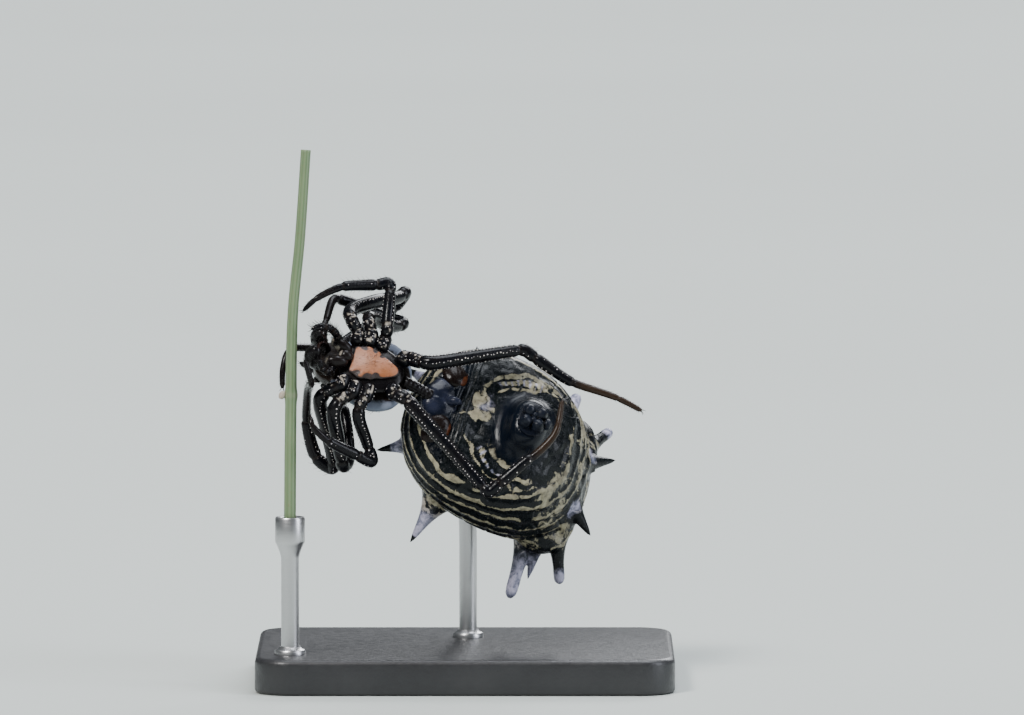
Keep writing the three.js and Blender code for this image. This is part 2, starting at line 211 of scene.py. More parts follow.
def lobe(name, centre, radii, columns, rows, turn=None):
    """A soft ellipsoid; turn is a 3x3 matrix."""

    def place(along, around):
        ring = np.sin(np.pi * along)
        return (
            radii[0] * ring * np.cos(around),
            radii[1] * ring * np.sin(around),
            radii[2] * np.cos(np.pi * along),
        )

    piece = skin(name, columns, rows, place)
    points = points_of(piece)
    if turn is not None:
        points = points @ np.array(turn.to_3x3()).T
    set_points(piece, points + np.array(centre))
    return piece


def smooth_path(points, step):
    """Points about a step apart on a smooth curve through the given ones."""
    knots = [Vector(p) for p in points]
    knots = [2 * knots[0] - knots[1], *knots, 2 * knots[-1] - knots[-2]]
    fine = []
    for a, b, c, d in zip(knots, knots[1:], knots[2:], knots[3:]):
        ta = (b - a).length ** 0.5
        tb = ta + (c - b).length ** 0.5
        tc = tb + (d - c).length ** 0.5
        count = max(4, math.ceil(2 * (c - b).length / step))
        for i in range(count):
            t = ta + (tb - ta) * i / count
            p = a.lerp(b, t / ta)
            q = b.lerp(c, (t - ta) / (tb - ta))
            r = c.lerp(d, (t - tb) / (tc - tb))
            u = p.lerp(q, t / tb)
            v = q.lerp(r, (t - ta) / (tc - ta))
            fine.append(u.lerp(v, (t - ta) / (tb - ta)))
    fine.append(knots[-2])
    fine = np.array(fine)
    gone = np.concatenate([[0], np.cumsum(np.linalg.norm(np.diff(fine, axis=0), axis=1))])
    at = np.linspace(0, gone[-1], max(4, round(gone[-1] / step)) + 1)
    return np.stack([np.interp(at, gone, fine[:, k]) for k in range(3)], axis=1), at


class Path:
    """A smooth path with a distance and two directions across it at each of its points."""

    def __init__(self, points, step):
        self.points, self.at = smooth_path(points, step)
        self.tangents = np.gradient(self.points, axis=0)
        self.tangents /= np.linalg.norm(self.tangents, axis=1)[:, None]
        side = Vector(self.tangents[0]).orthogonal().normalized()
        sides = [side]
        for a, b in zip(self.tangents, self.tangents[1:]):
            side = Vector(a).rotation_difference(Vector(b)) @ side
            sides.append(side.normalized())
        self.sides = np.array(sides)
        self.ups = np.cross(self.tangents, self.sides)
        self.tree = kdtree.KDTree(len(self.points))
        for i, p in enumerate(self.points):
            self.tree.insert(p, i)
        self.tree.balance()

    def nearest(self, points):
        return np.array([self.tree.find(p)[1] for p in points])

    def distance_of(self, point):
        return self.at[self.tree.find(point)[1]]

    def frame_at(self, distance, turn):
        """(point on the axis, direction along, direction out) at a distance."""
        i = int(np.clip(np.searchsorted(self.at, distance), 0, len(self.at) - 1))
        out = math.cos(turn) * self.sides[i] + math.sin(turn) * self.ups[i]
        return self.points[i], self.tangents[i], out


def tube(name, path, radius, roundness):
    """A closed tube along a Path; radius gives the radii for its distances."""
    deselect()
    bpy.ops.curve.primitive_nurbs_path_add()
    piece = bpy.context.object
    piece.name = name
    curve = piece.data
    curve.splines.clear()
    spline = curve.splines.new("POLY")
    spline.points.add(len(path.points) - 1)
    spline.points.foreach_set("co", np.insert(path.points, 3, 1, axis=1).ravel())
    spline.points.foreach_set("radius", np.asarray(radius(path.at), dtype=float))
    curve.bevel_depth = 1
    curve.bevel_resolution = roundness
    curve.use_fill_caps = True
    curve.twist_mode = "MINIMUM"
    bpy.ops.object.convert(target="MESH")
    outward(piece)
    return piece


def paint(piece, red=0.0, green=0.0, blue=0.0, alpha=0.0):
    """Keeps up to four masks on the mesh, which its material reads."""
    count = len(piece.data.vertices)
    tone = piece.data.attributes.new("tone", "FLOAT_COLOR", "POINT")
    values = np.stack([np.broadcast_to(v, count) for v in (red, green, blue, alpha)], axis=1)
    tone.data.foreach_set("color", np.clip(values, 0, 1).ravel())


def pattern_of(piece):
    """The points and faces of a small shape that is copied many times; the shape is removed."""
    points = points_of(piece)
    faces = [tuple(face.vertices) for face in piece.data.polygons]
    bpy.data.objects.remove(piece, do_unlink=True)
    return points, faces


def bristle_pattern():
    """One bristle, a unit long up Z, extruded in three lengths and bent a little."""
    deselect()
    bpy.ops.mesh.primitive_circle_add(vertices=4, radius=1, fill_type="NGON")
    bpy.ops.object.mode_set(mode="EDIT")
    bpy.ops.mesh.select_all(action="SELECT")
    for rise, lean, share in ((0.3, 0.0, 0.85), (0.4, 1.2, 0.6), (0.3, 2.4, 0.25)):
        bpy.ops.mesh.extrude_region_move(TRANSFORM_OT_translate={"value": (lean, 0, rise)})
        bpy.ops.transform.resize(value=(share, share, 1))
    bpy.ops.object.mode_set(mode="OBJECT")
    outward(bpy.context.object)
    return pattern_of(bpy.context.object)


def bead_pattern():
    """One low bead of radius 1."""
    deselect()
    bpy.ops.mesh.primitive_ico_sphere_add(subdivisions=2, radius=1)
    return pattern_of(bpy.context.object)


def scattered(name, pattern, placements, material):
    """One mesh with a copy of the pattern at each (place, direction, length, width)."""
    points, faces = pattern
    all_points, all_faces = [], []
    for place, direction, length, width in placements:
        turn = np.array(Vector((0, 0, 1)).rotation_difference(Vector(direction)).to_matrix())
        offset = len(all_points) * len(points)
        all_points.append(np.array(place) + (points * (width, width, length)) @ turn.T)
        all_faces += [tuple(i + offset for i in face) for face in faces]
    mesh = bpy.data.meshes.new(name)
    mesh.from_pydata(np.concatenate(all_points).tolist(), [], all_faces)
    mesh.materials.append(material)
    piece = bpy.data.objects.new(name, mesh)
    bpy.context.collection.objects.link(piece)
    activate(piece)
    bpy.ops.object.shade_smooth()
    return piece


def skin_hairs(piece, count, keep, lean, lengths, width):
    """Placements of hairs on a skin, at random points for which keep(point, normal) is true."""
    points, normals = points_of(piece), normals_of(piece)
    hairs = []
    for i in RNG.sample(range(len(points)), count):
        if keep(points[i], normals[i]):
            tilt = Vector(normals[i]) + Vector(lean)
            hairs.append((points[i], tilt.normalized(), RNG.uniform(*lengths), width))
    return hairs


def limb_hairs(path, count, reach, radius, lean, length, width):
    """Placements of hairs all round a limb, between two shares of its length."""
    hairs = []
    for _ in range(count):
        turn = RNG.uniform(0, 2 * math.pi)
        distance = RNG.uniform(*reach) * path.at[-1]
        point, direction, out = path.frame_at(distance, turn)
        tilt = Vector(lean * direction + out).normalized()
        hairs.append((point + radius(distance) * out, tilt, length, width))
    return hairs


def finish(piece, matrix, slot, *nodes):
    """Puts a piece into the row's frame, on the body, in place of its CAD nodes."""
    piece.data.transform(matrix)
    piece.data.update()
    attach(piece, BODY)
    if nodes:
        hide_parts(*nodes)


# Materials

# Fixed colours, as linear red, green and blue; the settings hold those that a user would change.
BRISTLE_BLACK = (0.004, 0.004, 0.005)
BRISTLE_BROWN = (0.02, 0.015, 0.012)
SOCKET_LILAC = (0.5, 0.46, 0.5)
SOCKET_CREAM = (0.82, 0.76, 0.68)
CARAPACE_RED = (0.035, 0.018, 0.01)
STERNUM_BLOTCH = (0.36, 0.14, 0.065)
STERNUM_CENTRE = (0.46, 0.24, 0.16)
# Colour of the sternum's darker edge, and of the painted shade in its notches and on its lower
# side.
STERNUM_EDGE_AND_SHADE = (0.03, 0.018, 0.016)
RING_BLACK = (0.0015, 0.0025, 0.005)
RING_OLIVE = (0.1, 0.085, 0.06)
FLECK_GREY = (0.2, 0.2, 0.24)
CHALK_SHADE = (0.16, 0.17, 0.24)
MOUND_BLACK = (0.002, 0.004, 0.009)
EYE_BLACK = (0.012, 0.008, 0.006)
EYE_BROWN = (0.05, 0.02, 0.008)
EYE_RIM = (0.25, 0.1, 0.03)
STEM_STREAK = (0.16, 0.24, 0.11)
STEM_RIB = (0.28, 0.35, 0.21)
STEM_SPECK = (0.2, 0.13, 0.06)
BUD_CREAM = (0.5, 0.42, 0.34)
PITH_PALE = (0.62, 0.64, 0.42)
PITH_GREEN = (0.36, 0.4, 0.2)
PAINT_GREY = (0.03, 0.03, 0.032)
STEEL_DARK = (0.5, 0.5, 0.51)
STEEL_LIGHT = (0.6, 0.6, 0.6)
# Kinds of cuticle: main colour, second colour and pale colour.
PLATE_TONES = ((0.004, 0.006, 0.013), (0.02, 0.024, 0.045), (0.15, 0.15, 0.13))
SPINNERET_TONES = ((0.005, 0.007, 0.013), (0.016, 0.02, 0.034), (0.1, 0.1, 0.1))
LUNG_TONES = ((0.004, 0.003, 0.003), (0.03, 0.012, 0.007), (0.07, 0.02, 0.007))
FANG_TONES = ((0.01, 0.003, 0.003), (0.02, 0.006, 0.004), (0.05, 0.02, 0.01))
# Most of a noise's values lie between these.
NOISE_LOW = 0.3
NOISE_HIGH = 0.7


def rgba(colour):
    return (*colour, 1.0)


class Graph:
    """Adds nodes to one tree and joins them."""

    def __init__(self, tree):
        self.tree = tree

    def add(self, kind, inputs=None, **settings):
        made = self.tree.nodes.new(kind)
        for key, value in settings.items():
            setattr(made, key, value)
        for key, value in (inputs or {}).items():
            self.set(made.inputs[key], value)
        return made

    def set(self, socket, value):
        if isinstance(value, bpy.types.NodeSocket):
            self.tree.links.new(value, socket)
        else:
            socket.default_value = value

    def mix(self, share, first, second):
        """A blend of two colours, each a socket or three numbers."""
        made = self.add("ShaderNodeMix", data_type="RGBA", clamp_factor=True)
        self.set(made.inputs[0], share)
        for socket, colour in ((made.inputs[6], first), (made.inputs[7], second)):
            linked = isinstance(colour, bpy.types.NodeSocket)
            self.set(socket, colour if linked else rgba(colour))
        return made.outputs[2]

    def calc(self, operation, first, second):
        made = self.add("ShaderNodeMath", operation=operation)
        self.set(made.inputs[0], first)
        self.set(made.inputs[1], second)
        return made.outputs[0]

    def remap(self, value, low, high, to_low=0.0, to_high=1.0):
        made = self.add(
            "ShaderNodeMapRange",
            {0: value, 1: low, 2: high, 3: to_low, 4: to_high},
            interpolation_type="SMOOTHSTEP",
        )
        return made.outputs[0]

    def spread(self, noise, low=0.0, high=1.0):
        """A noise stretched from a low to a high value."""
        return self.remap(noise, NOISE_LOW, NOISE_HIGH, low, high)

    def noise(self, vector, scale, detail=3.0, roughness=0.55, distortion=0.0):
        inputs = {
            "Vector": vector,
            "Scale": scale,
            "Detail": detail,
            "Roughness": roughness,
            "Distortion": distortion,
        }
        return self.add("ShaderNodeTexNoise", inputs).outputs["Fac"]

    def cells(self, vector, scale):
        inputs = {"Vector": vector, "Scale": scale}
        return self.add("ShaderNodeTexVoronoi", inputs).outputs["Distance"]

    def bump(self, height, distance):
        inputs = {"Height": height, "Distance": distance, "Strength": 1.0}
        return self.add("ShaderNodeBump", inputs).outputs["Normal"]

    def millimetres(self, scale=(1000, 1000, 1000)):
        """Object coordinates in millimetres, or stretched along one axis."""
        place = self.add("ShaderNodeTexCoord").outputs["Object"]
        made = self.add("ShaderNodeMapping", {"Vector": place, "Scale": scale})
        return made.outputs["Vector"]

    def masks(self):
        """The four masks painted on the mesh."""
        read = self.add("ShaderNodeAttribute", attribute_name="tone")
        parts = self.add("ShaderNodeSeparateColor", {"Color": read.outputs["Color"]})
        return parts.outputs[0], parts.outputs[1], parts.outputs[2], read.outputs["Alpha"]

    def effect(self, name, **inputs):
        """A shared node group with its own values."""
        made = self.add("ShaderNodeGroup", node_tree=effect_tree(name))
        for key, value in inputs.items():
            self.set(made.inputs[key], value)
        return made.outputs

    def surface(self, shader, colour, rough=None, normal=None):
        """Links the colour, and the roughness and the normal where they vary."""
        for name, value in (("Base Color", colour), ("Roughness", rough), ("Normal", normal)):
            if value is not None:
                self.set(shader[name], value)


def new_effect(name, inputs):
    """A node group that puts out a mask and a normal."""
    tree = bpy.data.node_groups.new(name, "ShaderNodeTree")
    for socket, kind, default in inputs:
        made = tree.interface.new_socket(socket, in_out="INPUT", socket_type=kind)
        if default is not None:
            made.default_value = default
    for socket, kind in (("Mask", "NodeSocketFloat"), ("Normal", "NodeSocketVector")):
        tree.interface.new_socket(socket, in_out="OUTPUT", socket_type=kind)
    graph = Graph(tree)
    return tree, graph, graph.add("NodeGroupInput").outputs, graph.add("NodeGroupOutput").inputs


def grain_effect():
    """Fine grain of cuticle or paint: a mask that breaks edges up, and a bumped normal."""
    inputs = (
        ("Vector", "NodeSocketVector", None),
        ("Scale", "NodeSocketFloat", 6.0),
        ("Depth", "NodeSocketFloat", 0.00001),
    )
    tree, graph, given, wanted = new_effect("fine_grain", inputs)
    coarse = graph.noise(given["Vector"], given["Scale"], 4.0, 0.6)
    cells = graph.cells(given["Vector"], graph.calc("MULTIPLY", given["Scale"], 3.3))
    height = graph.calc("ADD", coarse, graph.calc("MULTIPLY", cells, 0.5))
    graph.set(wanted["Mask"], coarse)
    graph.set(wanted["Normal"], graph.bump(height, given["Depth"]))
    return tree


def streak_effect():
    """Fine lines along one axis, as a mask and a bumped normal."""
    inputs = (("Vector", "NodeSocketVector", None), ("Depth", "NodeSocketFloat", 0.000004))
    tree, graph, given, wanted = new_effect("streaks", inputs)
    lines = graph.noise(given["Vector"], 1.0, 5.0, 0.65)
    graph.set(wanted["Mask"], lines)
    graph.set(wanted["Normal"], graph.bump(lines, given["Depth"]))
    return tree


EFFECT_MAKERS = {"grain": grain_effect, "streaks": streak_effect}
EFFECTS = {}
MATERIALS = {}


def effect_tree(name):
    if name not in EFFECTS:
        EFFECTS[name] = EFFECT_MAKERS[name]()
    return EFFECTS[name]


def material(name, build, **sockets):
    """A material made once: build links its nodes, and sockets are constants of its shader."""
    if name in MATERIALS:
        return MATERIALS[name]
    made = bpy.data.materials.new(name)
    made.use_nodes = True
    shader = made.node_tree.nodes["Principled BSDF"]
    for key, value in sockets.items():
        shader.inputs[key.replace("_", " ")].default_value = value
    build(Graph(made.node_tree), shader.inputs)
    made.diffuse_color = shader.inputs["Base Color"].default_value
    MATERIALS[name] = made
    return made


def cuticle(name, tones, rough=(0.16, 0.34), depth=0.000004):
    """Shining cuticle: red mask turns it to the second tone, green mask to the pale one."""
    base, second, pale = tones

    def build(graph, shader):
        place = graph.millimetres()
        red, green, _, _ = graph.masks()
        grain = graph.effect("grain", Vector=place, Scale=7.0, Depth=depth)
        broad = graph.noise(place, 1.6, 3.0)
        colour = graph.mix(graph.remap(broad, 0.35, 0.75, 0.0, 0.12), base, second)
        colour = graph.mix(red, colour, second)
        edge = graph.calc("ADD", green, graph.calc("MULTIPLY", grain["Mask"], 0.5))
        colour = graph.mix(graph.remap(edge, 0.55, 0.95), colour, pale)
        graph.surface(shader, colour, graph.spread(grain["Mask"], *rough), grain["Normal"])

    return material(name, build, Coat_Weight=0.04, Coat_Roughness=0.1, IOR=1.25)


def settings():
    return bpy.context.scene.orb_weaver


def black_cuticle():
    own = settings()
    return cuticle("black_cuticle", (own.cuticle_colour, own.shin_colour, own.pale_colour))


def bristle_material():
    def build(graph, shader):
        tint = graph.noise(graph.millimetres(), 2.0)
        graph.surface(shader, graph.mix(tint, BRISTLE_BLACK, BRISTLE_BROWN))

    return material("bristles", build, Roughness=0.42)


def socket_material():
    def build(graph, shader):
        tint = graph.spread(graph.noise(graph.millimetres(), 5.0))
        graph.surface(shader, graph.mix(tint, SOCKET_LILAC, SOCKET_CREAM))

    return material("bristle_sockets", build, Roughness=0.35)


def sternum_material():
    """Red mask: darker edge, painted shade in the notches and on the lower side. Green mask: paler
    centre.
    """
    own = settings()

    def build(graph, shader):
        place = graph.millimetres()
        red, green, _, _ = graph.masks()
        grain = graph.effect("grain", Vector=place, Scale=9.0, Depth=0.000012)
        blotch = graph.remap(graph.noise(place, 2.3, 4.0, 0.6), 0.35, 0.7)
        colour = graph.mix(blotch, own.sternum_colour, STERNUM_BLOTCH)
        colour = graph.mix(graph.calc("MULTIPLY", green, 0.8), colour, STERNUM_CENTRE)
        # Darker towards the edge, with painted shade in the notches and on the lower side.
        dark = graph.calc("ADD", red, graph.calc("MULTIPLY", grain["Mask"], 0.5))
        colour = graph.mix(graph.remap(dark, 0.5, 0.95), colour, STERNUM_EDGE_AND_SHADE)
        graph.surface(shader, colour, graph.spread(grain["Mask"], 0.34, 0.55), grain["Normal"])

    return material("sternum_shield", build, Subsurface_Weight=0.08, Subsurface_Scale=0.0003)


def abdomen_material():
    """Red mask: pale rings and patches. Green: white of the spines and painted belly highlights.
    Blue: glossy black plates. Alpha: the back, whose pale colour is whiter."""
    own = settings()

    def build(graph, shader):
        place = graph.millimetres()
        red, green, blue, back = graph.masks()
        grain = graph.effect("grain", Vector=place, Scale=8.0, Depth=0.000012)
        broken = graph.calc("SUBTRACT", graph.noise(place, 3.6, 5.0, 0.66, 0.6), 0.5)
        ring = graph.calc("ADD", red, graph.calc("MULTIPLY", broken, 1.9))
        ring = graph.remap(ring, 0.46, 0.66)
        dark = graph.mix(graph.noise(place, 1.1), own.ring_dark, RING_BLACK)
        pale = graph.mix(back, own.ring_pale, own.back_pale)
        tint = graph.remap(graph.noise(place, 5.0, 4.0, 0.6), 0.35, 0.7, 0.0, 0.75)
        pale = graph.mix(tint, pale, RING_OLIVE)
        colour = graph.mix(ring, dark, pale)
        fleck = graph.remap(graph.noise(place, 8.0, 3.0, 0.6), 0.6, 0.72, 0.0, 0.16)
        fleck = graph.calc("MULTIPLY", fleck, graph.calc("SUBTRACT", 1.0, blue))
        colour = graph.mix(fleck, colour, FLECK_GREY)
        # White of the spines, and painted highlights on the belly in the same lilac white.
        white_and_highlight = graph.calc("ADD", green, graph.calc("MULTIPLY", broken, 0.7))
        chalk_and_highlight = graph.mix(graph.remap(broken, -0.12, 0.14), CHALK_SHADE, own.spine_white_and_highlight)
        colour = graph.mix(graph.remap(white_and_highlight, 0.12, 0.8), colour, chalk_and_highlight)
        colour = graph.mix(blue, colour, MOUND_BLACK)
        rough = graph.spread(grain["Mask"], 0.2, 0.38)
        rough = graph.calc("MULTIPLY", rough, graph.remap(blue, 0.0, 1.0, 1.0, 0.5))
        graph.surface(shader, colour, rough, grain["Normal"])

    return material("abdomen_skin", build, Coat_Weight=0.1, Coat_Roughness=0.1, IOR=1.25)


def eye_material():
    """Red mask: the rim of the eye."""

    def build(graph, shader):
        red, _, _, _ = graph.masks()
        tint = graph.mix(graph.noise(graph.millimetres(), 5.0), EYE_BLACK, EYE_BROWN)
        graph.surface(shader, graph.mix(red, tint, EYE_RIM))

    return material("eyes", build, Roughness=0.06, Coat_Weight=1.0, Coat_Roughness=0.03)


def stem_material():
    """Red mask: the ribs. Green mask: the whitish bud."""
    own = settings()

    def build(graph, shader):
        place = graph.millimetres((5000, 5000, 350))
        red, green, _, _ = graph.masks()
        lines = graph.effect("streaks", Vector=place, Depth=0.000012)
        speckle = graph.noise(graph.millimetres(), 5.0, 4.0, 0.6)
        colour = graph.mix(lines["Mask"], own.stem_colour, STEM_STREAK)
        colour = graph.mix(graph.calc("MULTIPLY", red, 0.6), colour, STEM_RIB)
        colour = graph.mix(graph.remap(speckle, 0.62, 0.75, 0.0, 0.7), colour, STEM_SPECK)
        colour = graph.mix(green, colour, BUD_CREAM)
        graph.surface(shader, colour, graph.spread(lines["Mask"], 0.38, 0.6), lines["Normal"])

    return material("grass_stem", build, Subsurface_Weight=0.1, Subsurface_Scale=0.0004)


def pith_material():
    def build(graph, shader):
        cells = graph.cells(graph.millimetres(), 14.0)
        graph.surface(shader, graph.mix(cells, PITH_PALE, PITH_GREEN))

    return material("cut_pith", build, Roughness=0.7)


def paint_material():
    own = settings()

    def build(graph, shader):
        place = graph.millimetres()
        grain = graph.effect("grain", Vector=place, Scale=3.2, Depth=0.000008)
        tint = graph.remap(graph.noise(place, 0.35, 3.0), 0.35, 0.7)
        colour = graph.mix(tint, own.base_colour, PAINT_GREY)
        graph.surface(shader, colour, graph.spread(grain["Mask"], 0.34, 0.5), grain["Normal"])

    return material("stand_paint", build, Coat_Weight=0.12, Coat_Roughness=0.3)


def steel_material():
    def build(graph, shader):
        place = graph.millimetres((1600, 1600, 22000))
        lines = graph.effect("streaks", Vector=place, Depth=0.0000008)
        colour = graph.mix(lines["Mask"], STEEL_DARK, STEEL_LIGHT)
        graph.surface(shader, colour, graph.spread(lines["Mask"], 0.3, 0.4), lines["Normal"])

    return material("rod_steel", build, Metallic=1.0)


def floor_material():
    own = settings()

    def build(graph, shader):
        place = graph.add("ShaderNodeTexCoord").outputs["Object"]
        tint = graph.spread(graph.noise(place, 6.0, 3.0))
        shade = [0.94 * channel for channel in own.floor_colour]
        graph.surface(shader, graph.mix(tint, own.floor_colour, shade))

    return material("studio_floor", build, Roughness=0.85)


# Abdomen, in its body frame, from the tips of the spinnerets

# Height of each level, how far it reaches to the front, the rear and the side, and its climb.
ABDOMEN_LEVELS = (
    (0.38, 0.0, 0.0, 0.0, 0.0),
    (0.40, 0.28, 0.28, 0.4, 0.0),
    (0.46, 0.5, 0.48, 0.68, 0.0),
    (0.62, 0.62, 0.6, 0.84, 0.0),
    (0.88, 0.7, 0.7, 0.95, 0.0),
    (1.12, 0.82, 0.82, 1.1, 0.0),
    (1.28, 1.08, 0.98, 1.32, 0.01),
    (1.35, 1.7, 1.08, 1.6, 0.02),
    (1.42, 2.6, 1.2, 1.95, 0.03),
    (1.55, 3.2, 1.45, 2.3, 0.03),
    (1.8, 3.58, 1.78, 2.6, 0.03),
    (2.5, 3.86, 2.3, 2.88, 0.06),
    (3.3, 3.92, 2.78, 2.92, 0.12),
    (4.0, 3.78, 2.97, 2.72, 0.2),
    (4.38, 3.42, 2.76, 2.32, 0.24),
    (4.56, 2.6, 1.95, 1.55, 0.26),
    (4.64, 1.3, 0.9, 0.75, 0.26),
    (4.66, 0.2, -0.2, 0.0, 0.26),
)
HUMP_CENTRE = (-1.8, 1.9, 4.35)
HUMP_RADII = (0.92, 0.72, 0.56)

# How thick a spine is along itself, in shares of its root's radius.
POINTED = ((0, 2.1), (0.18, 1.55), (0.34, 1.02), (0.52, 0.64), (0.72, 0.4), (0.9, 0.22), (1, 0.08))
BLUNT = ((0, 1.9), (0.2, 1.3), (0.4, 0.78), (0.7, 0.48), (0.88, 0.46), (0.96, 0.37), (1, 0.12))
# Root and tip of each spine, its root's radius, its profile, and how white it is along itself.
SPINES = (
    (
        (3.3, 1.2, 3.0),
        (4.35, 1.65, 3.5),
        0.33,
        POINTED,
        ((0, 0.1), (0.3, 0.6), (0.55, 0.6), (0.62, 0)),
    ),
    (
        (1.8, 2.3, 3.9),
        (2.15, 3.9, 4.5),
        0.43,
        POINTED,
        ((0.2, 0.1), (0.5, 0.7), (0.62, 0.95), (0.82, 0.9), (0.88, 0)),
    ),
    (
        (-1.5, 1.8, 4.6),
        (-1.72, 4.05, 5.45),
        0.46,
        BLUNT,
        ((0.1, 0.1), (0.5, 0.5), (0.75, 1), (1, 1)),
    ),
    (
        (-1.9, 1.9, 4.6),
        (-2.1, 3.2, 5.35),
        0.36,
        POINTED,
        ((0.3, 0.2), (0.6, 0.5), (1, 0.6)),
    ),
    (
        (-2.4, 1.6, 4.4),
        (-3.15, 3.05, 5.1),
        0.42,
        BLUNT,
        ((0.1, 0.3), (0.3, 0.1), (0.65, 0.05), (0.86, 0.95), (1, 0.95)),
    ),
    (
        (-2.3, 0.7, 3.6),
        (-3.5, 1.5, 3.95),
        0.42,
        POINTED,
        ((0, 0.3), (0.25, 0.7), (0.38, 0.3), (0.45, 0)),
    ),
    (
        (-2.2, 0.4, 3.5),
        (-2.95, 0.68, 3.65),
        0.28,
        POINTED,
        ((0, 0), (0.4, 0.3), (0.6, 0)),
    ),
)
# The dark pits of the back: place along and aside, and radius.
PITS = (
    (2.9, 0.8, 0.15),
    (1.7, 1.35, 0.2),
    (0.2, 1.5, 0.2),
    (-1.1, 1.25, 0.17),
    (2.2, 0.4, 0.11),
    (0.9, 0.5, 0.13),
    (-0.5, 0.5, 0.12),
    (-1.9, 0.45, 0.11),
)
PIT_DEPTH = 0.05
FIRST_RING = 1.55
BELLY_EDGE = 1.62
CREASES = 11
CREASE_DRAWN = 0.045  # the crease depth at which all relief of the skin is as deep as drawn
FURROW = 2.42
# The furrow and the folds behind it: distance behind the furrow, depth and width.
BELLY_FOLDS = ((0.0, 0.1, 0.08), (0.22, 0.05, 0.05), (0.38, 0.035, 0.04))
BEADED_ARC = 1.8
# The belly's pale arcs: radius, half thickness, first and last angle from the front.
BELLY_ARCS = ((1.45, 0.15, 35, 95), (BEADED_ARC, 0.1, 42, 120), (2.05, 0.08, 25, 150))


def abdomen_body():
    levels = np.array(ABDOMEN_LEVELS)
    steps = np.hypot(np.diff(levels[:, 0]), np.diff(levels[:, 3]))
    stations = np.concatenate([[0], np.cumsum(steps)])
    stations /= stations[-1]

    def place(along, turn):
        height, front, rear, side, climb = (table(along, stations, levels[:, k]) for k in range(5))
        across, up = rounded(turn, 2.3)
        x = (front - rear) / 2 + across * (front + rear) / 2
        return x, up * side, height - climb * x

    return skin("abdomen_body", 144, 120, place)


def level_of(points):
    """The height of the level that each point of the abdomen lies on."""
    levels = np.array(ABDOMEN_LEVELS)
    height = points[:, 2].copy()
    for _ in range(3):
        height = points[:, 2] + np.interp(height, levels[:, 0], levels[:, 4]) * points[:, 0]
    return height


def near_spine(points, root, tip, radius):
    """How far along a spine each point lies, and how far it is on the spine, from 0 to 1."""
    axis = np.subtract(tip, root)
    length = np.linalg.norm(axis)
    axis = axis / length
    along = (points - root) @ axis / length
    off = np.linalg.norm(points - root - np.outer(along * length, axis), axis=1)
    inside = step_up(radius * (1.15 - 0.8 * along) + 0.24 - off, 0.0, 0.2)
    return along, inside * step_up(along, 0.02, 0.2)


def both_sides(point):
    return [(point[0], side * point[1], point[2]) for side in (1, -1)]


def flank_marks(points, level, rough):
    """How pale and how high the flank is: rings, creases across them, mottling at the rear."""
    wobble = 0.16 * noise_at(points, 0.55, 3.0) + 0.09 * noise_at(points, 2.2, 9.0)
    phase = (level + wobble - FIRST_RING) / settings().ring_gap
    rings = 0.5 - 0.5 * np.cos(2 * np.pi * phase)
    turn = np.arctan2(points[:, 1], points[:, 0] - 0.5)
    crease = np.abs(np.sin(CREASES * turn + 2.6 * noise_at(points, 0.7, 5.0)))
    link = (1 - step_up(crease, 0.06, 0.22)) * step_up(rough, 0.0, 0.5)
    pale = np.maximum(0.8 * step_up(rings + 0.3 * rough, 0.66, 1.0), 0.45 * link)
    mottled = np.maximum(step_up(level, 3.3, 3.8), 0.9 * step_up(-points[:, 0], 0.6, 1.6))
    pale = np.maximum(pale, mottled * (0.48 + 0.5 * rough))
    return pale, CREASE_DRAWN * (rings - 0.5) - 0.025 * (1 - step_up(crease, 0.0, 0.2))


def belly_patches(points, rough):
    """The belly's bold marks: pale patches ahead of the mound and in arcs beside it, and the
    painted highlights on them: a spot ahead of the mound and spots along the beaded arc."""
    x, y = points[:, 0], points[:, 1]
    middle = np.hypot((x - 1.5) / 0.52, y) + 1.1 * rough
    patches = 1 - step_up(middle, 0.6, 1.0)
    reach = np.hypot(x, y)
    angle = np.degrees(np.arctan2(np.abs(y), x))
    for radius, thick, low, high in BELLY_ARCS:
        arc = np.abs(reach - radius - 0.25 * rough) / thick + 0.9 * rough
        sector = step_up(angle, low - 8, low + 8) * (1 - step_up(angle, high - 10, high + 10))
        mark = sector * (1 - step_up(arc, 0.7, 1.1))
        patches = np.maximum(patches, mark)
        if radius == BEADED_ARC:
            # Spots along the beaded arc: painted highlights on its folds.
            beads = mark * step_up(np.sin(0.9 * angle) + rough, -0.3, 0.5) * (angle < 95)
    # A painted highlight ahead of the mound.
    lit = bell(x - 1.65, 0.35) * bell(y - 0.4, 0.3) * step_up(rough, -0.5, 0.3)
    return 0.68 * patches, np.maximum(0.75 * lit, 0.6 * beads)


def belly_relief(points):
    """Height of the belly's furrow, folds and small lumps."""
    x = points[:, 0] + 0.05 * noise_at(points, 1.5, 2.0)
    push = 0.06 * noise_at(points, 2.0, 1.0) + 0.02 * noise_at(points, 5.0, 2.0)
    for behind, depth, width in BELLY_FOLDS:
        push -= depth * bell(x - FURROW + behind, width)
    return push


def in_pits(points):
    """1 in the pits of the back, 0 away from them."""
    inside = np.zeros(len(points))
    for x, y, radius in PITS:
        for side in (1, -1):
            away = np.hypot(points[:, 0] - x, points[:, 1] - side * y) / radius
            inside = np.maximum(inside, 1 - step_up(away, 0.75, 1.15))
    return inside


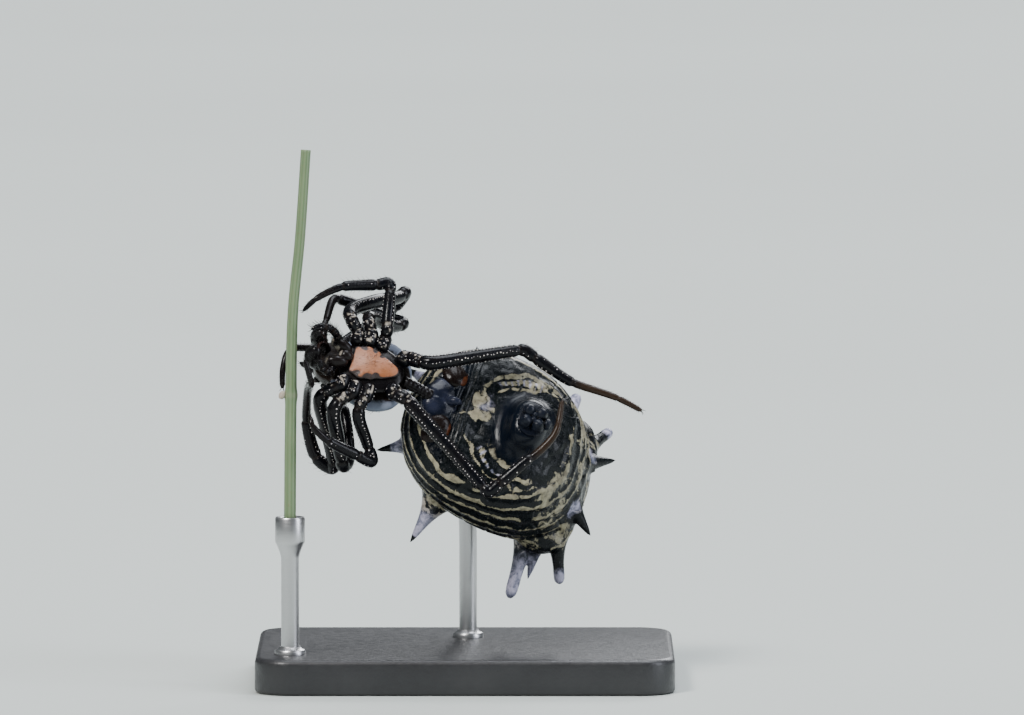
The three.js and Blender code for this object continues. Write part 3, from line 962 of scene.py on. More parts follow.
def paint_abdomen(piece):
    """Draws the markings as masks, and gives the skin the relief that goes with them."""
    points = points_of(piece)
    level = level_of(points)
    rough = noise_at(points, 1.3, 11.0) + 0.5 * noise_at(points, 3.1, 4.0)
    flank = step_up(level, BELLY_EDGE - 0.12, BELLY_EDGE + 0.1) * (1 - step_up(level, 3.95, 4.2))
    back = step_up(level, 3.9, 4.35)
    mound = 1 - step_up(level, 1.24, 1.34)
    belly = (1 - step_up(level, BELLY_EDGE - 0.05, BELLY_EDGE + 0.1)) * (1 - mound)
    front_belly = belly * step_up(points[:, 0], 2.2, 2.5)
    pits = back * in_pits(points)
    flank_pale, flank_push = flank_marks(points, level, rough)
    patches, painted_highlights = belly_patches(points, rough)
    pale = (flank * flank_pale + belly * patches) * (1 - back) + back * (0.6 + 0.4 * rough)
    pale *= (1 - 0.95 * front_belly) * (1 - pits)
    push = flank * flank_push + belly * belly_relief(points) - PIT_DEPTH * pits
    # Painted highlights on the belly; the spines' white is added below.
    white_and_highlight = belly * painted_highlights
    for root, tip, radius, _, whites in SPINES:
        for start, end in zip(both_sides(root), both_sides(tip)):
            along, on = near_spine(points, start, end, radius)
            pale *= 1 - on * step_up(along, 0.3, 0.5)
            push *= 1 - on
            white_and_highlight = white_and_highlight * (1 - on) + np.interp(along, *zip(*whites)) * on
    raise_points(piece, push * settings().crease_depth / CREASE_DRAWN)
    paint(piece, pale, white_and_highlight, np.maximum(mound, 0.85 * front_belly), back)


def spine_tube(root, tip, radius, profile):
    """One spine, rooted well inside the body."""
    root, tip = Vector(root), Vector(tip)
    path = Path([root.lerp(tip, -0.25), root, root.lerp(tip, 0.5), tip], 0.08)
    return tube("spine", path, lambda at: radius * curve_at(at / path.at[-1], profile), 5)


def make_abdomen():
    parts = [abdomen_body()]
    for root, tip, radius, profile, _ in SPINES:
        for start, end in zip(both_sides(root), both_sides(tip)):
            parts.append(spine_tube(start, end, radius, profile))
    for centre in both_sides(HUMP_CENTRE):
        parts.append(lobe("hump", centre, HUMP_RADII, 32, 24))
    piece = join("abdomen_skin", parts)
    apply_modifier(piece, "REMESH", mode="VOXEL", voxel_size=settings().skin_cell)
    apply_modifier(piece, "SMOOTH", factor=0.5, iterations=9)
    activate(piece)
    bpy.ops.object.shade_smooth()
    paint_abdomen(piece)
    cover(abdomen_material(), piece)
    finish(piece, FROM_VIEW @ ABDOMEN, "abdomen_skin", "abdomen")


def epigastric_plate(along, turn):
    """The outline of the glossy plate before the furrow, with a fold along its middle."""
    ring = np.sin(np.pi * along)
    x = 3.12 + 0.66 * ring * np.cos(turn) * (1 - 0.2 * np.cos(turn))
    y = 0.82 * ring * np.sin(turn) * (1 - 0.25 * np.cos(turn))
    z = 1.62 + 0.4 * np.cos(np.pi * along)
    return x, y, z + 0.05 * bell(y, 0.09) * (along > 0.5)


OLIVE_SPOT = 3.5
SCAPE_PATH = ((2.75, 0, 1.4), (2.56, 0, 1.2), (2.44, 0, 1.16), (2.34, 0, 1.22))
SCAPE_RADII = ((0, 0.2), (0.2, 0.17), (0.36, 0.13), (0.52, 0.05))


def make_epigastric_plate():
    """The glossy plate before the furrow, with its scape."""
    plate = skin("epigastric_plate", 56, 40, epigastric_plate)
    points = points_of(plate)
    olive = np.exp(-((points[:, 0] - OLIVE_SPOT) ** 2 + points[:, 1] ** 2) / 0.035)
    raise_points(plate, 0.03 * noise_at(points, 3.0))
    paint(plate, step_up(noise_at(points, 2.0, 6.0), -0.1, 0.5), 0.7 * olive)
    scape = tube("scape", Path(SCAPE_PATH, 0.03), lambda at: curve_at(at, SCAPE_RADII), 4)
    paint(scape, 0.6)
    piece = join("epigastric_plate", [plate, scape])
    cover(cuticle("plate_blue", PLATE_TONES), piece)
    finish(piece, FROM_VIEW @ ABDOMEN, "abdomen_skin")


LUNG_PLACE = (2.82, 1.12, 1.56)
LUNG_RADII = (0.46, 0.6, 0.26)
LUNG_EDGE = 2.5


def make_book_lungs():
    """The ridged covers of the two book lungs."""
    covers = []
    for side, place in zip((1, -1), both_sides(LUNG_PLACE)):
        slope = Matrix.Rotation(side * 0.35, 3, "X") @ Matrix.Rotation(side * -0.3, 3, "Z")
        lung = lobe("book_lung", place, LUNG_RADII, 40, 28, slope)
        points = points_of(lung)
        edge = step_up(LUNG_EDGE - points[:, 0] + 0.16 * noise_at(points, 4.0), -0.05, 0.05)
        raise_points(lung, 0.004 * np.sin(34 * (points[:, 0] - 0.35 * side * points[:, 1])))
        paint(lung, 0.1, 0.8 * edge)
        covers.append(lung)
    piece = join("book_lung_covers", covers)
    cover(cuticle("book_lung_brown", LUNG_TONES, (0.2, 0.36)), piece)
    finish(piece, FROM_VIEW @ ABDOMEN, "abdomen_skin")


# Place along and aside of each spinneret's root, its radius and its length.
SPINNERETS = ((0.21, 0.23, 0.22, 0.45), (-0.24, 0.25, 0.21, 0.47), (-0.03, 0.12, 0.12, 0.42))
SPINNERET_ROOT = 0.5
SPINNERET_PROFILE = ((0, 1), (0.5, 1.0), (0.8, 0.84), (0.96, 0.56), (1, 0.2))
SPINNERET_JOINT = 0.62


def make_spinnerets(bristle):
    parts = []
    hairs = []
    for along, aside, radius, length in SPINNERETS:
        for side in (1, -1):
            root = (along, side * aside, SPINNERET_ROOT)
            middle = (0.98 * along, 0.9 * side * aside, SPINNERET_ROOT - 0.55 * length)
            tip = (0.72 * along, 0.55 * side * aside, SPINNERET_ROOT - length)
            path = Path([root, middle, tip], 0.03)
            total = path.at[-1]

            def radii(at, total=total, radius=radius):
                share = at / total
                joint = 0.1 * bell(share - SPINNERET_JOINT, 0.03)
                return radius * curve_at(share, SPINNERET_PROFILE) * (1 - joint)

            cone = tube("spinneret", path, radii, 4)
            paint(cone, 0.2 * path.at[path.nearest(points_of(cone))] / total)
            parts.append(cone)
            foot = 0.85 * radius
            hairs += limb_hairs(path, 9, (0.45, 0.95), lambda at: foot, 1.1, 0.13, 0.008)
    tubercle = lobe("anal_tubercle", (-0.52, 0, 0.36), (0.15, 0.19, 0.2), 24, 16)
    paint(tubercle, 0.3)
    collar = lobe("collar", (-0.02, 0, 0.4), (0.5, 0.6, 0.07), 40, 14)
    paint(collar, 0.0)
    parts += [tubercle, collar]
    cover(cuticle("spinneret_blue", SPINNERET_TONES, (0.24, 0.4)), *parts)
    parts.append(scattered("spinneret_hairs", bristle, hairs, bristle_material()))
    piece = join("spinneret_cluster", parts)
    finish(piece, FROM_VIEW @ ABDOMEN, "spinneret_cuticle", "spinnerets")


# Cephalothorax, in its body frame

CARAPACE_LENGTH = 3.35
CARAPACE_MIDDLE = 0.25
CARAPACE_HALF_WIDTH = 1.3
CARAPACE_MARGIN = 0.7
# Share of the length, share of the half width, and height of the top in millimetres.
CARAPACE_SECTIONS = (
    (-0.5, 0.36, 0.24),
    (-0.42, 0.7, 0.5),
    (-0.28, 0.94, 0.72),
    (-0.1, 1.0, 0.8),
    (0.08, 0.87, 0.86),
    (0.22, 0.64, 1.0),
    (0.36, 0.55, 0.97),
    (0.46, 0.47, 0.78),
    (0.5, 0.36, 0.45),
)
# The pit on the middle line, the slope of the neck grooves from it, and its rays' angles.
FOVEA = -0.35
NECK_SLOPE = 0.62
FOVEA_RAYS = (1.25, 1.85, 2.45)


def carapace_skin():
    sections = np.array(CARAPACE_SECTIONS)

    def place(along, turn):
        station = 0.5 - along
        closing = np.sqrt(np.clip(1 - np.abs(2 * station) ** 9, 0, 1))
        width = CARAPACE_HALF_WIDTH * table(station, sections[:, 0], sections[:, 1]) * closing
        top = table(station, sections[:, 0], sections[:, 2]) * closing
        across, up = rounded(turn, 2.2)
        height = np.where(up > 0, up * top, 0.1 * up)
        return CARAPACE_MIDDLE + station * CARAPACE_LENGTH, across * width, CARAPACE_MARGIN + height

    piece = skin("carapace_shell", 128, 120, place)
    points = points_of(piece)
    x, y, z = points.T
    upper = step_up(z, CARAPACE_MARGIN + 0.1, CARAPACE_MARGIN + 0.35)
    neck = bell(np.abs(y) - NECK_SLOPE * (x - FOVEA), 0.09) * step_up(x, FOVEA, FOVEA + 0.3)
    neck *= 1 - step_up(x, 0.8, 1.2)
    pit = bell(x - FOVEA, 0.2) * bell(y, 0.09)
    turn = np.arctan2(np.abs(y), x - FOVEA)
    rays = sum(bell(turn - ray, 0.1) for ray in FOVEA_RAYS)
    rays *= step_up(np.hypot(x - FOVEA, y), 0.2, 0.5)
    rim = 1 - step_up(np.abs(z - CARAPACE_MARGIN - 0.03), 0.06, 0.13)
    rim *= 1 - step_up(x, 0.9, 1.3)
    push = 0.05 * rim + 0.008 * noise_at(points, 5.0)
    push -= upper * (0.09 * neck + 0.1 * pit + 0.045 * rays)
    raise_points(piece, push)
    paint(piece, 0.5 * step_up(x, 0.6, 1.5) + 0.3 * neck, rim)
    own = settings()
    tones = (own.carapace_colour, CARAPACE_RED, own.rim_colour)
    cover(cuticle("carapace_brown", tones, (0.2, 0.4), 0.00001), piece)
    return piece


EYE_FRONT = CARAPACE_MIDDLE + 0.44 * CARAPACE_LENGTH
# Place along and height of each row of eyes, and places aside of its inner and outer eyes.
EYE_ROWS = (
    (EYE_FRONT, CARAPACE_MARGIN + 0.72, (0.18, 0.48)),
    (EYE_FRONT - 0.28, CARAPACE_MARGIN + 0.93, (0.2, 0.54)),
)
EYE_RADII = (0.115, 0.095)  # inner and outer
HEAD_MIDDLE = (1.2, 0, 0.9)


def eye_beads():
    """Two rows of four eyes, each on a low dark mount."""
    beads, mounts = [], []
    for x, z, asides in EYE_ROWS:
        for aside, size in zip(asides, EYE_RADII):
            for side in (1, -1):
                centre = Vector((x - 0.25 * aside, side * aside, z - 0.3 * aside * aside))
                out = (centre - Vector(HEAD_MIDDLE)).normalized()
                bead = lobe("eye", centre + 0.035 * out, (size, size, size), 24, 16)
                distance = (points_of(bead) - np.array(centre)) @ np.array(out)
                paint(bead, 1 - step_up(distance, 0.0, 0.05))
                beads.append(bead)
                turn = Vector((0, 0, 1)).rotation_difference(out).to_matrix()
                radii = (1.35 * size, 1.35 * size, 0.8 * size)
                mount = lobe("eye_mount", centre, radii, 24, 12, turn)
                paint(mount)
                mounts.append(mount)
    cover(eye_material(), *beads)
    cover(black_cuticle(), *mounts)
    return beads, mounts


def make_carapace(bristle):
    beads, mounts = eye_beads()
    shell = carapace_skin()

    def hairy(point, normal):
        top = normal[2] > 0.2 and point[2] > CARAPACE_MARGIN + 0.15
        return top and (point[0] > 0.3 or RNG.random() < 0.3)

    hairs = skin_hairs(shell, 1500, hairy, (0.9, 0, 0.2), (0.1, 0.2), 0.007)
    hair = scattered("carapace_hairs", bristle, hairs, bristle_material())
    carapace = join("carapace_shell", [shell, hair])
    finish(carapace, FROM_VIEW @ PROSOMA, "carapace_cuticle", "carapace")
    eyes = join("eye_group", beads + mounts)
    finish(eyes, FROM_VIEW @ PROSOMA, "carapace_cuticle")


# Where the coxae of legs 1 to 4 sit, in the cephalothorax's frame.
COXA_ALONG = (0.74, 0.3, -0.16, -0.98)
COXA_ASIDE = (0.84, 0.96, 0.94, 0.56)
# Angle from the head in degrees, and how far the sternum reaches there.
STERNUM_OUTLINE = (
    (0, 0.68),
    (20, 0.72),
    (36, 0.82),
    (50, 0.74),
    (66, 0.7),
    (80, 0.62),
    (100, 0.58),
    (120, 0.54),
    (140, 0.6),
    (158, 0.74),
    (172, 0.92),
    (180, 0.96),
)
STERNUM_NOTCHES = (52, 88, 124)


def make_sternum(bristle):
    angles, reach = zip(*STERNUM_OUTLINE)

    def place(along, turn):
        ring = np.sin(np.pi * along)
        angle = np.degrees(np.abs(turn))
        far = table(angle, angles, reach) * ring
        belly = -np.cos(np.pi * along)
        dome = np.where(belly < 0, 0.15 * belly, 0.1 * belly)
        return far * np.cos(turn), far * np.sin(turn), 0.13 + dome

    piece = skin("sternum_shield", 96, 64, place)
    points = points_of(piece)
    x, y = points[:, 0], points[:, 1]
    angle = np.degrees(np.arctan2(np.abs(y), x))
    edge = np.hypot(x, y) / table(angle, angles, reach)
    notches = sum(bell(angle - at, 11) for at in STERNUM_NOTCHES)
    # Red mask: darker towards the edge, painted shade in the notches, and painted shade on the
    # lower side.
    dark = 0.9 * step_up(edge, 0.9, 1.0) + notches * step_up(edge, 0.6, 0.8)
    painted_lower_shade = step_up(angle, 60, 80) * (1 - step_up(angle, 130, 150))
    dark += 0.5 * (y < 0) * step_up(edge, 0.5, 0.8) * painted_lower_shade
    centre = np.exp(-((x - 0.35) ** 2 + y**2) / 0.12)
    raise_points(piece, 0.02 * noise_at(points, 2.4) - 0.02 * notches * step_up(edge, 0.5, 0.9))
    paint(piece, dark, centre)
    cover(sternum_material(), piece)

    def below(point, normal):
        return normal[2] < -0.3

    hairs = skin_hairs(piece, 240, below, (-0.7, 0, 0), (0.08, 0.14), 0.0045)
    hair = scattered("sternum_hairs", bristle, hairs, bristle_material())
    shield = join("sternum_shield", [piece, hair])
    finish(shield, FROM_VIEW @ PROSOMA, "sternum_cuticle", "sternum")


PALE_MASK_STRENGTH = 0.62  # strength of the pale mask: membranes, inner edges, coxa mottling and painted joint highlights


def make_mouthparts(bristle):
    """Lip, endites with their pale inner edges and brushes, and the plate that holds the legs."""
    lip = lobe("lip", (0.9, 0, 0.06), (0.24, 0.22, 0.2), 32, 20)
    paint(lip, 0.2, PALE_MASK_STRENGTH * step_up(points_of(lip)[:, 0], 0.98, 1.1))
    parts = [lip]
    hairs = []

    def in_brush(point, normal):
        return point[0] > 1.25 and normal[2] < 0.5

    for side in (1, -1):
        spread = Matrix.Rotation(side * 0.28, 3, "Z")
        endite = lobe("endite", (1.14, 0.32 * side, 0.08), (0.4, 0.22, 0.26), 36, 24, spread)
        points = points_of(endite)
        inner = step_up(0.2 - np.abs(points[:, 1]), -0.06, 0.06)
        front = step_up(points[:, 0], 1.36, 1.48)
        edge = np.maximum(inner * step_up(points[:, 0], 1.05, 1.25), front)
        paint(endite, 0.2, PALE_MASK_STRENGTH * edge)
        parts.append(endite)
        hairs += skin_hairs(endite, 320, in_brush, (0.5, -0.3 * side, 0), (0.08, 0.15), 0.006)
    plate = lobe("coxal_plate", (0.0, 0, 0.36), (1.15, 0.9, 0.2), 48, 20)
    paint(plate, 0.1)
    parts.append(plate)
    cover(black_cuticle(), *parts)
    parts.append(scattered("endite_brush", bristle, hairs, bristle_material()))
    piece = join("mouthparts", parts)
    finish(piece, FROM_VIEW @ PROSOMA, "leg_cuticle")


# The left jaw and its fang: paths, and radii by share of the jaw and by distance on the fang.
JAW_PATH = (
    (1.55, 0.33, 0.72),
    (1.84, 0.37, 0.42),
    (1.96, 0.38, 0.05),
    (1.9, 0.34, -0.26),
    (1.84, 0.27, -0.42),
)
JAW_RADII = (
    (0, 0.16),
    (0.25, 0.24),
    (0.5, 0.29),
    (0.75, 0.26),
    (0.9, 0.19),
    (0.97, 0.11),
    (1, 0.02),
)
FANG_PATH = ((1.86, 0.31, -0.38), (1.84, 0.18, -0.5), (1.72, 0.08, -0.5), (1.6, 0.07, -0.42))
FANG_RADII = ((0, 0.06), (0.15, 0.048), (0.3, 0.03), (0.45, 0.01))


def make_chelicera(bristle, side, node):
    path = Path([(x, side * y, z) for x, y, z in JAW_PATH], 0.03)

    def radii(at):
        return curve_at(at / path.at[-1], JAW_RADII)

    basal = tube("basal_segment", path, radii, 6)
    paint(basal, 0.1)
    cover(black_cuticle(), basal)
    fang_path = Path([(x, side * y, z) for x, y, z in FANG_PATH], 0.02)
    fang = tube("fang", fang_path, lambda at: curve_at(at, FANG_RADII), 4)
    paint(fang, 0.4)
    cover(cuticle("fang_red", FANG_TONES, (0.14, 0.25)), fang)
    hairs = limb_hairs(path, 70, (0.35, 0.97), lambda at: 0.93 * radii(at), 1 / 0.9, 0.16, 0.007)
    hair = scattered("chelicera_hairs", bristle, hairs, bristle_material())
    piece = join(node + "_skin", [basal, fang, hair])
    finish(piece, FROM_VIEW @ PROSOMA, "leg_cuticle", node)


# Legs and palps, in the viewer's frame: the same paths as in the CAD model

LEGS = {
    "left_1": (
        ((-0.68, 0.72, 1.42), (-0.74, 1.2, 1.72), (0.0, 2.3, 2.04), (0.85, 3.8, 2.22)),
        ((1.05, 4.25, 2.36), (0.72, 4.5, 1.92), (-1.1, 2.85, 0.6)),
        ((-1.32, 2.55, 0.45), (-2.75, 0.85, 0.42), (-2.98, 0.55, -0.2), (-3.0, 0.5, -0.85)),
    ),
    "left_2": (
        ((-0.12, 0.98, 1.35), (-0.1, 1.25, 1.5), (0.4, 2.35, 1.33), (0.78, 3.1, 1.24)),
        ((0.98, 3.5, 1.34), (0.6, 3.6, 1.46), (-1.0, 2.7, 2.1)),
        ((-1.3, 2.42, 2.14), (-1.55, 1.75, 1.45), (-1.7, 1.2, 0.98)),
    ),
    "left_3": (
        ((0.5, 0.7, 1.14), (0.51, 0.8, 1.4), (0.58, 1.2, 2.25)),
        ((0.55, 1.45, 2.66), (0.2, 1.38, 2.62), (-0.85, 0.85, 2.57)),
        ((-1.15, 0.72, 2.5), (-1.88, 0.5, 2.13), (-2.3, 0.4, 1.74)),
    ),
    "left_4": (
        ((1.6, 0.25, 0.05), (1.95, 0.05, 0.0), (3.4, 0.55, 0.2), (4.72, 1.15, 0.4)),
        ((5.08, 1.28, 0.42), (5.4, 1.25, 0.2), (6.55, 1.1, -0.58)),
        ((6.87, 1.05, -0.72), (8.2, 0.8, -1.18), (9.0, 0.7, -1.6)),
    ),
    "right_1": (
        ((-1.44, -0.05, -0.92), (-1.72, 0.1, -1.2), (-1.52, 1.0, -2.2), (-1.34, 1.75, -3.16)),
        ((-1.36, 2.15, -3.52), (-1.86, 2.2, -3.2), (-2.2, 2.0, -2.1)),
        ((-2.22, 1.82, -1.78), (-2.14, 0.55, -0.85), (-2.02, -0.85, -0.62), (-2.22, -1.06, 0.1)),
    ),
    "right_2": (
        ((-1.02, -0.45, -1.22), (-1.26, -0.48, -1.58), (-1.15, 0.0, -2.5), (-1.05, 0.3, -3.1)),
        ((-0.95, 0.65, -3.45), (-0.8, 1.0, -3.2), (-0.95, 1.75, -1.65)),
        ((-1.05, 2.05, -1.4), (-1.8, 2.2, -0.4), (-2.4, 1.3, 0.0)),
    ),
    "right_3": (
        ((-0.38, -0.45, -1.4), (-0.44, -0.42, -1.75), (-0.15, 0.2, -2.72)),
        ((0.0, 0.1, -3.28), (-0.45, -0.25, -3.1), (-1.35, -0.8, -2.65)),
        ((-1.6, -0.95, -2.48), (-1.95, -1.05, -2.1), (-2.05, -0.9, -1.75)),
    ),
    "right_4": (
        ((1.12, -0.38, -1.18), (1.4, -0.45, -1.5), (2.6, -0.6, -2.85), (3.6, -0.75, -4.0)),
        ((3.9, -0.8, -4.28), (4.2, -0.8, -4.05), (5.15, -0.75, -3.25)),
        ((5.45, -0.7, -3.05), (6.1, -0.55, -2.35), (6.35, -0.1, -1.25)),
    ),
}
PALPS = {
    "left": ((-1.38, -0.4, 1.15), (-1.7, -0.62, 1.2), (-2.02, -0.7, 1.12)),
    "right": ((-1.5, -0.43, -0.28), (-1.68, -0.68, -0.12), (-1.74, -0.86, 0.1)),
}
FEMUR_RADII = (0.245, 0.24, 0.215, 0.225)  # legs 1 to 4
COXA_RADII = (0.235, 0.235, 0.235, 0.28)
JOINT_DIP = 0.18
BRISTLE_LEAN = 1.1
BRISTLE_WIDTH = 0.0055


class Limb:
    """The stations of one leg: where each segment ends along its path, and how thick it is."""

    def __init__(self, name):
        side = 1 if name.startswith("left") else -1
        number = int(name[-1]) - 1
        femur, tibia, tarsus = LEGS[name]
        along, aside = COXA_ALONG[number], side * COXA_ASIDE[number]
        inner = PROSOMA @ Vector((0.96 * along, 0.72 * aside, 0.24))
        outer = PROSOMA @ Vector((1.03 * along, 1.25 * aside, 0.24))
        self.path = Path([inner, outer, *femur, *tibia, *tarsus], 0.045)
        far = self.path.distance_of
        last = self.path.at[-1]
        self.tarsus_start = far(tarsus[0]) + 0.62 * (last - far(tarsus[0]))
        self.coxa_end = far(outer) + 0.12
        self.trochanter_end = max(far(femur[0]) + 0.1, self.coxa_end + 0.2)
        self.knee = far(femur[-1]) + 0.16
        self.patella_end = far(tibia[1]) + 0.06
        self.shin_end = 0.5 * (far(tibia[-1]) + far(tarsus[0]))
        self.end = last
        self.joints = (
            self.coxa_end,
            self.trochanter_end,
            self.knee,
            self.patella_end,
            self.shin_end,
            self.tarsus_start,
        )
        self.thigh = FEMUR_RADII[number]
        self.number = number
        self.rows = 5 if number == 3 else 3

    def radius(self, at):
        thigh = self.thigh
        coxa = COXA_RADII[self.number]
        stations = (
            (0, 0.5 * coxa),
            (0.06, 0.85 * coxa),
            (0.14, coxa),
            (self.coxa_end - 0.02, coxa),
            (self.coxa_end + 0.05, 0.92 * coxa),
            (self.trochanter_end, 0.5 * (coxa + thigh)),
            (0.4 * self.trochanter_end + 0.6 * self.knee, thigh),
            (self.knee - 0.03, 0.9 * thigh),
            (self.knee + 0.04, 0.96 * thigh),
            (self.patella_end, 0.94 * thigh),
            (self.shin_end - 0.02, 0.78 * thigh),
            (self.shin_end + 0.04, 0.64 * thigh),
            (self.tarsus_start, 0.5 * thigh),
            (self.end - 0.12, 0.38 * thigh),
            (self.end, 0.2 * thigh),
        )
        body = np.interp(at, *zip(*stations))
        for joint in self.joints:
            body = body * (1 - JOINT_DIP * bell(at - joint, 0.06))
        return body


def limb_bristles(path, radius, start, end, rows, gap, length, width):
    """Placements of sockets and bristles in rows along a stretch of a limb."""
    beads, hairs = [], []
    for row in range(rows):
        base = 2 * math.pi * (row + 0.3) / rows
        distance = start + RNG.uniform(0, gap)
        while distance < end:
            turn = base + RNG.uniform(-0.12, 0.12)
            point, direction, out = path.frame_at(distance, turn)
            foot = point + float(radius(distance)) * out
            beads.append((foot, out))
            tilt = Vector(BRISTLE_LEAN * direction + out).normalized()
            hairs.append((foot - 0.01 * out, tilt, length * RNG.uniform(0.75, 1.2), width))
            distance += gap * RNG.uniform(0.85, 1.15)
    return beads, hairs


def claws(path, radius):
    """Placements of three small hooks at the tip of a limb, as wide bristles."""
    placed = []
    for turn in (0.6, -0.6, 3.1):
        point, direction, out = path.frame_at(path.at[-1] - 0.03, turn)
        tilt = Vector(direction + 0.5 * out).normalized()
        placed.append((point + 0.5 * radius * out, tilt, 0.14, 0.014))
    return placed


def make_leg(name, bristle, bead):
    limb = Limb(name)
    path = limb.path
    tube_skin = tube("leg_skin", path, limb.radius, settings().limb_roundness)
    at = path.at[path.nearest(points_of(tube_skin))]
    joint = sum(bell(at - place, 0.05) for place in limb.joints)
    shin = step_up(at, limb.shin_end - 0.1, limb.shin_end + 0.5)
    root = 1 - step_up(at, limb.trochanter_end, limb.trochanter_end + 0.2)
    down = np.array(PROSOMA.to_3x3() @ Vector((0, 0, -1)))
    belly = step_up(normals_of(tube_skin) @ down, 0.5, 0.85)
    spots = step_up(noise_at(points_of(tube_skin), 8.0, 4.0), -0.05, 0.25)
    # Pale mask: cream mottling under the coxae and trochanters, and painted highlights under the
    # joints.
    blotch = belly * np.maximum(root * spots, 0.6 * joint)
    brown = 0.9 if limb.number == 3 else 0.15
    paint(tube_skin, np.maximum(brown * shin, 0.2 * joint), PALE_MASK_STRENGTH * blotch)
    cover(black_cuticle(), tube_skin)
    own = settings()
    gap, long = own.socket_gap, own.bristle_length
    stretches = (
        (0.12, limb.coxa_end - 0.08, 5, gap, 0.6 * long, 1.0),
        (limb.coxa_end + 0.08, limb.trochanter_end - 0.05, 5, gap, 0.6 * long, 1.0),
        (limb.trochanter_end + 0.1, limb.knee - 0.1, limb.rows, gap, long, 1.0),
        (limb.knee + 0.1, limb.patella_end - 0.08, 3, 1.3 * gap, long, 0.75),
        (limb.patella_end + 0.1, limb.shin_end - 0.08, 4, 1.5 * gap, 1.1 * long, 0.6),
        (limb.shin_end + 0.1, limb.tarsus_start - 0.08, 4, 1.4 * gap, long, 0.0),
        (limb.tarsus_start + 0.08, limb.end - 0.08, 5, 0.7 * gap, 0.6 * long, 0.0),
    )
    beads, hairs = [], claws(path, 0.3 * limb.thigh)
    for start, end, rows, spacing, length, share in stretches:
        feet, bristles = limb_bristles(
            path, limb.radius, start, end, rows, spacing, length, BRISTLE_WIDTH
        )
        hairs += bristles
        for foot, out in feet:
            if RNG.random() < share:
                wide = own.socket_radius * RNG.uniform(0.6, 1.5)
                beads.append((foot, out, 0.6 * wide, wide))
    parts = [
        tube_skin,
        scattered("sockets", bead, beads, socket_material()),
        scattered("bristles", bristle, hairs, bristle_material()),
    ]
    nodes = ["leg_%s_%s" % (name, segment) for segment in ("femur", "tibia", "tarsus")]
    finish(join("leg_%s_skin" % name, parts), FROM_VIEW, "leg_cuticle", *nodes)


# A palp's radius at shares of its length, and the shares where its joints are.
PALP_RADII = ((0, 0.13), (0.3, 0.14), (0.6, 0.135), (0.85, 0.115), (0.97, 0.06), (1, 0.02))
PALP_JOINTS = (0.28, 0.52, 0.72)


def make_palp(side_name, bristle, bead):
    side = 1 if side_name == "left" else -1
    root = PROSOMA @ Vector((1.2, 0.52 * side, 0.2))
    path = Path([root, *PALPS[side_name]], 0.035)
    total = path.at[-1]
    joints = [share * total for share in PALP_JOINTS]

    def radius(at):
        body = curve_at(at / total, PALP_RADII)
        for joint in joints:
            body = body * (1 - 0.3 * bell(at - joint, 0.045))
        return body

    palp = tube("palp_skin", path, radius, 4)
    at = path.at[path.nearest(points_of(palp))]
    joint = sum(bell(at - place, 0.05) for place in joints)
    paint(palp, 0.5 * joint, 0.2 * joint)
    cover(black_cuticle(), palp)
    feet, hairs = limb_bristles(path, radius, 0.1, total - 0.05, 8, 0.09, 0.2, 0.008)
    beads = [(foot, out, 0.01, 0.014) for foot, out in feet[::7]]
    parts = [
        palp,
        scattered("sockets", bead, beads, socket_material()),
        scattered("bristles", bristle, hairs + claws(path, 0.04)[:1], bristle_material()),
    ]
    finish(join("palp_%s_skin" % side_name, parts), FROM_VIEW, "leg_cuticle", "palp_" + side_name)


WAIST_PATH = ((1.48, 0.6, -0.84), (1.62, 0.66, -0.92), (1.95, 0.72, -1.1))
WAIST_RADIUS = 0.2
WAIST_RING = 0.16


def make_waist():
    """The narrow waist, in ringed sclerites, from under the carapace to the abdomen."""
    front = PROSOMA @ Vector((-1.2, 0, 0.55))
    path = Path([front, *WAIST_PATH], 0.02)

    def radius(at):
        return WAIST_RADIUS + 0.009 * np.cos(2 * np.pi * at / WAIST_RING)

    waist = tube("waist", path, radius, 5)
    paint(waist, 0.1)
    cover(black_cuticle(), waist)
    finish(waist, FROM_VIEW, "leg_cuticle", "pedicel")


# Stem and stand

STEM_PATH = (
    (-2.2, -0.1, 7.1),
    (-2.4, -0.1, 4.1),
    (-2.63, -0.1, 1.7),
    (-2.7, -0.1, -1.5),
    (-2.73, -0.1, -5.2),
)
STEM_NODE = 8.2  # the node's distance from the stem's upper end
STEM_RADII = ((0, 0.165), (5, 0.175), (STEM_NODE, 0.19), (12.4, 0.2))
STEM_RIBS = 9
STEM_BUD = (-2.96, -0.16, -1.07)
BUD_REACH = 0.14
BASE_SIZE = (14.0, 10.0, 1.2)
ROD_RADIUS = 0.3
SOCKET_RADIUS = 0.5
SHARP_ROD_EDGE = 35.0
SHARP_BASE_EDGE = 32.0
LATHE_STEPS = 40
# Where the body's rod meets the back of the abdomen, and the way out from there.
BACK_PAD = (0.6, 0.0, 4.44)
PAD_OUT = Vector((0.25, 0, 1)).normalized()
PAD_RADII = ((0, 0.32), (0.1, 0.42), (0.3, 0.44), (0.44, 0.42))


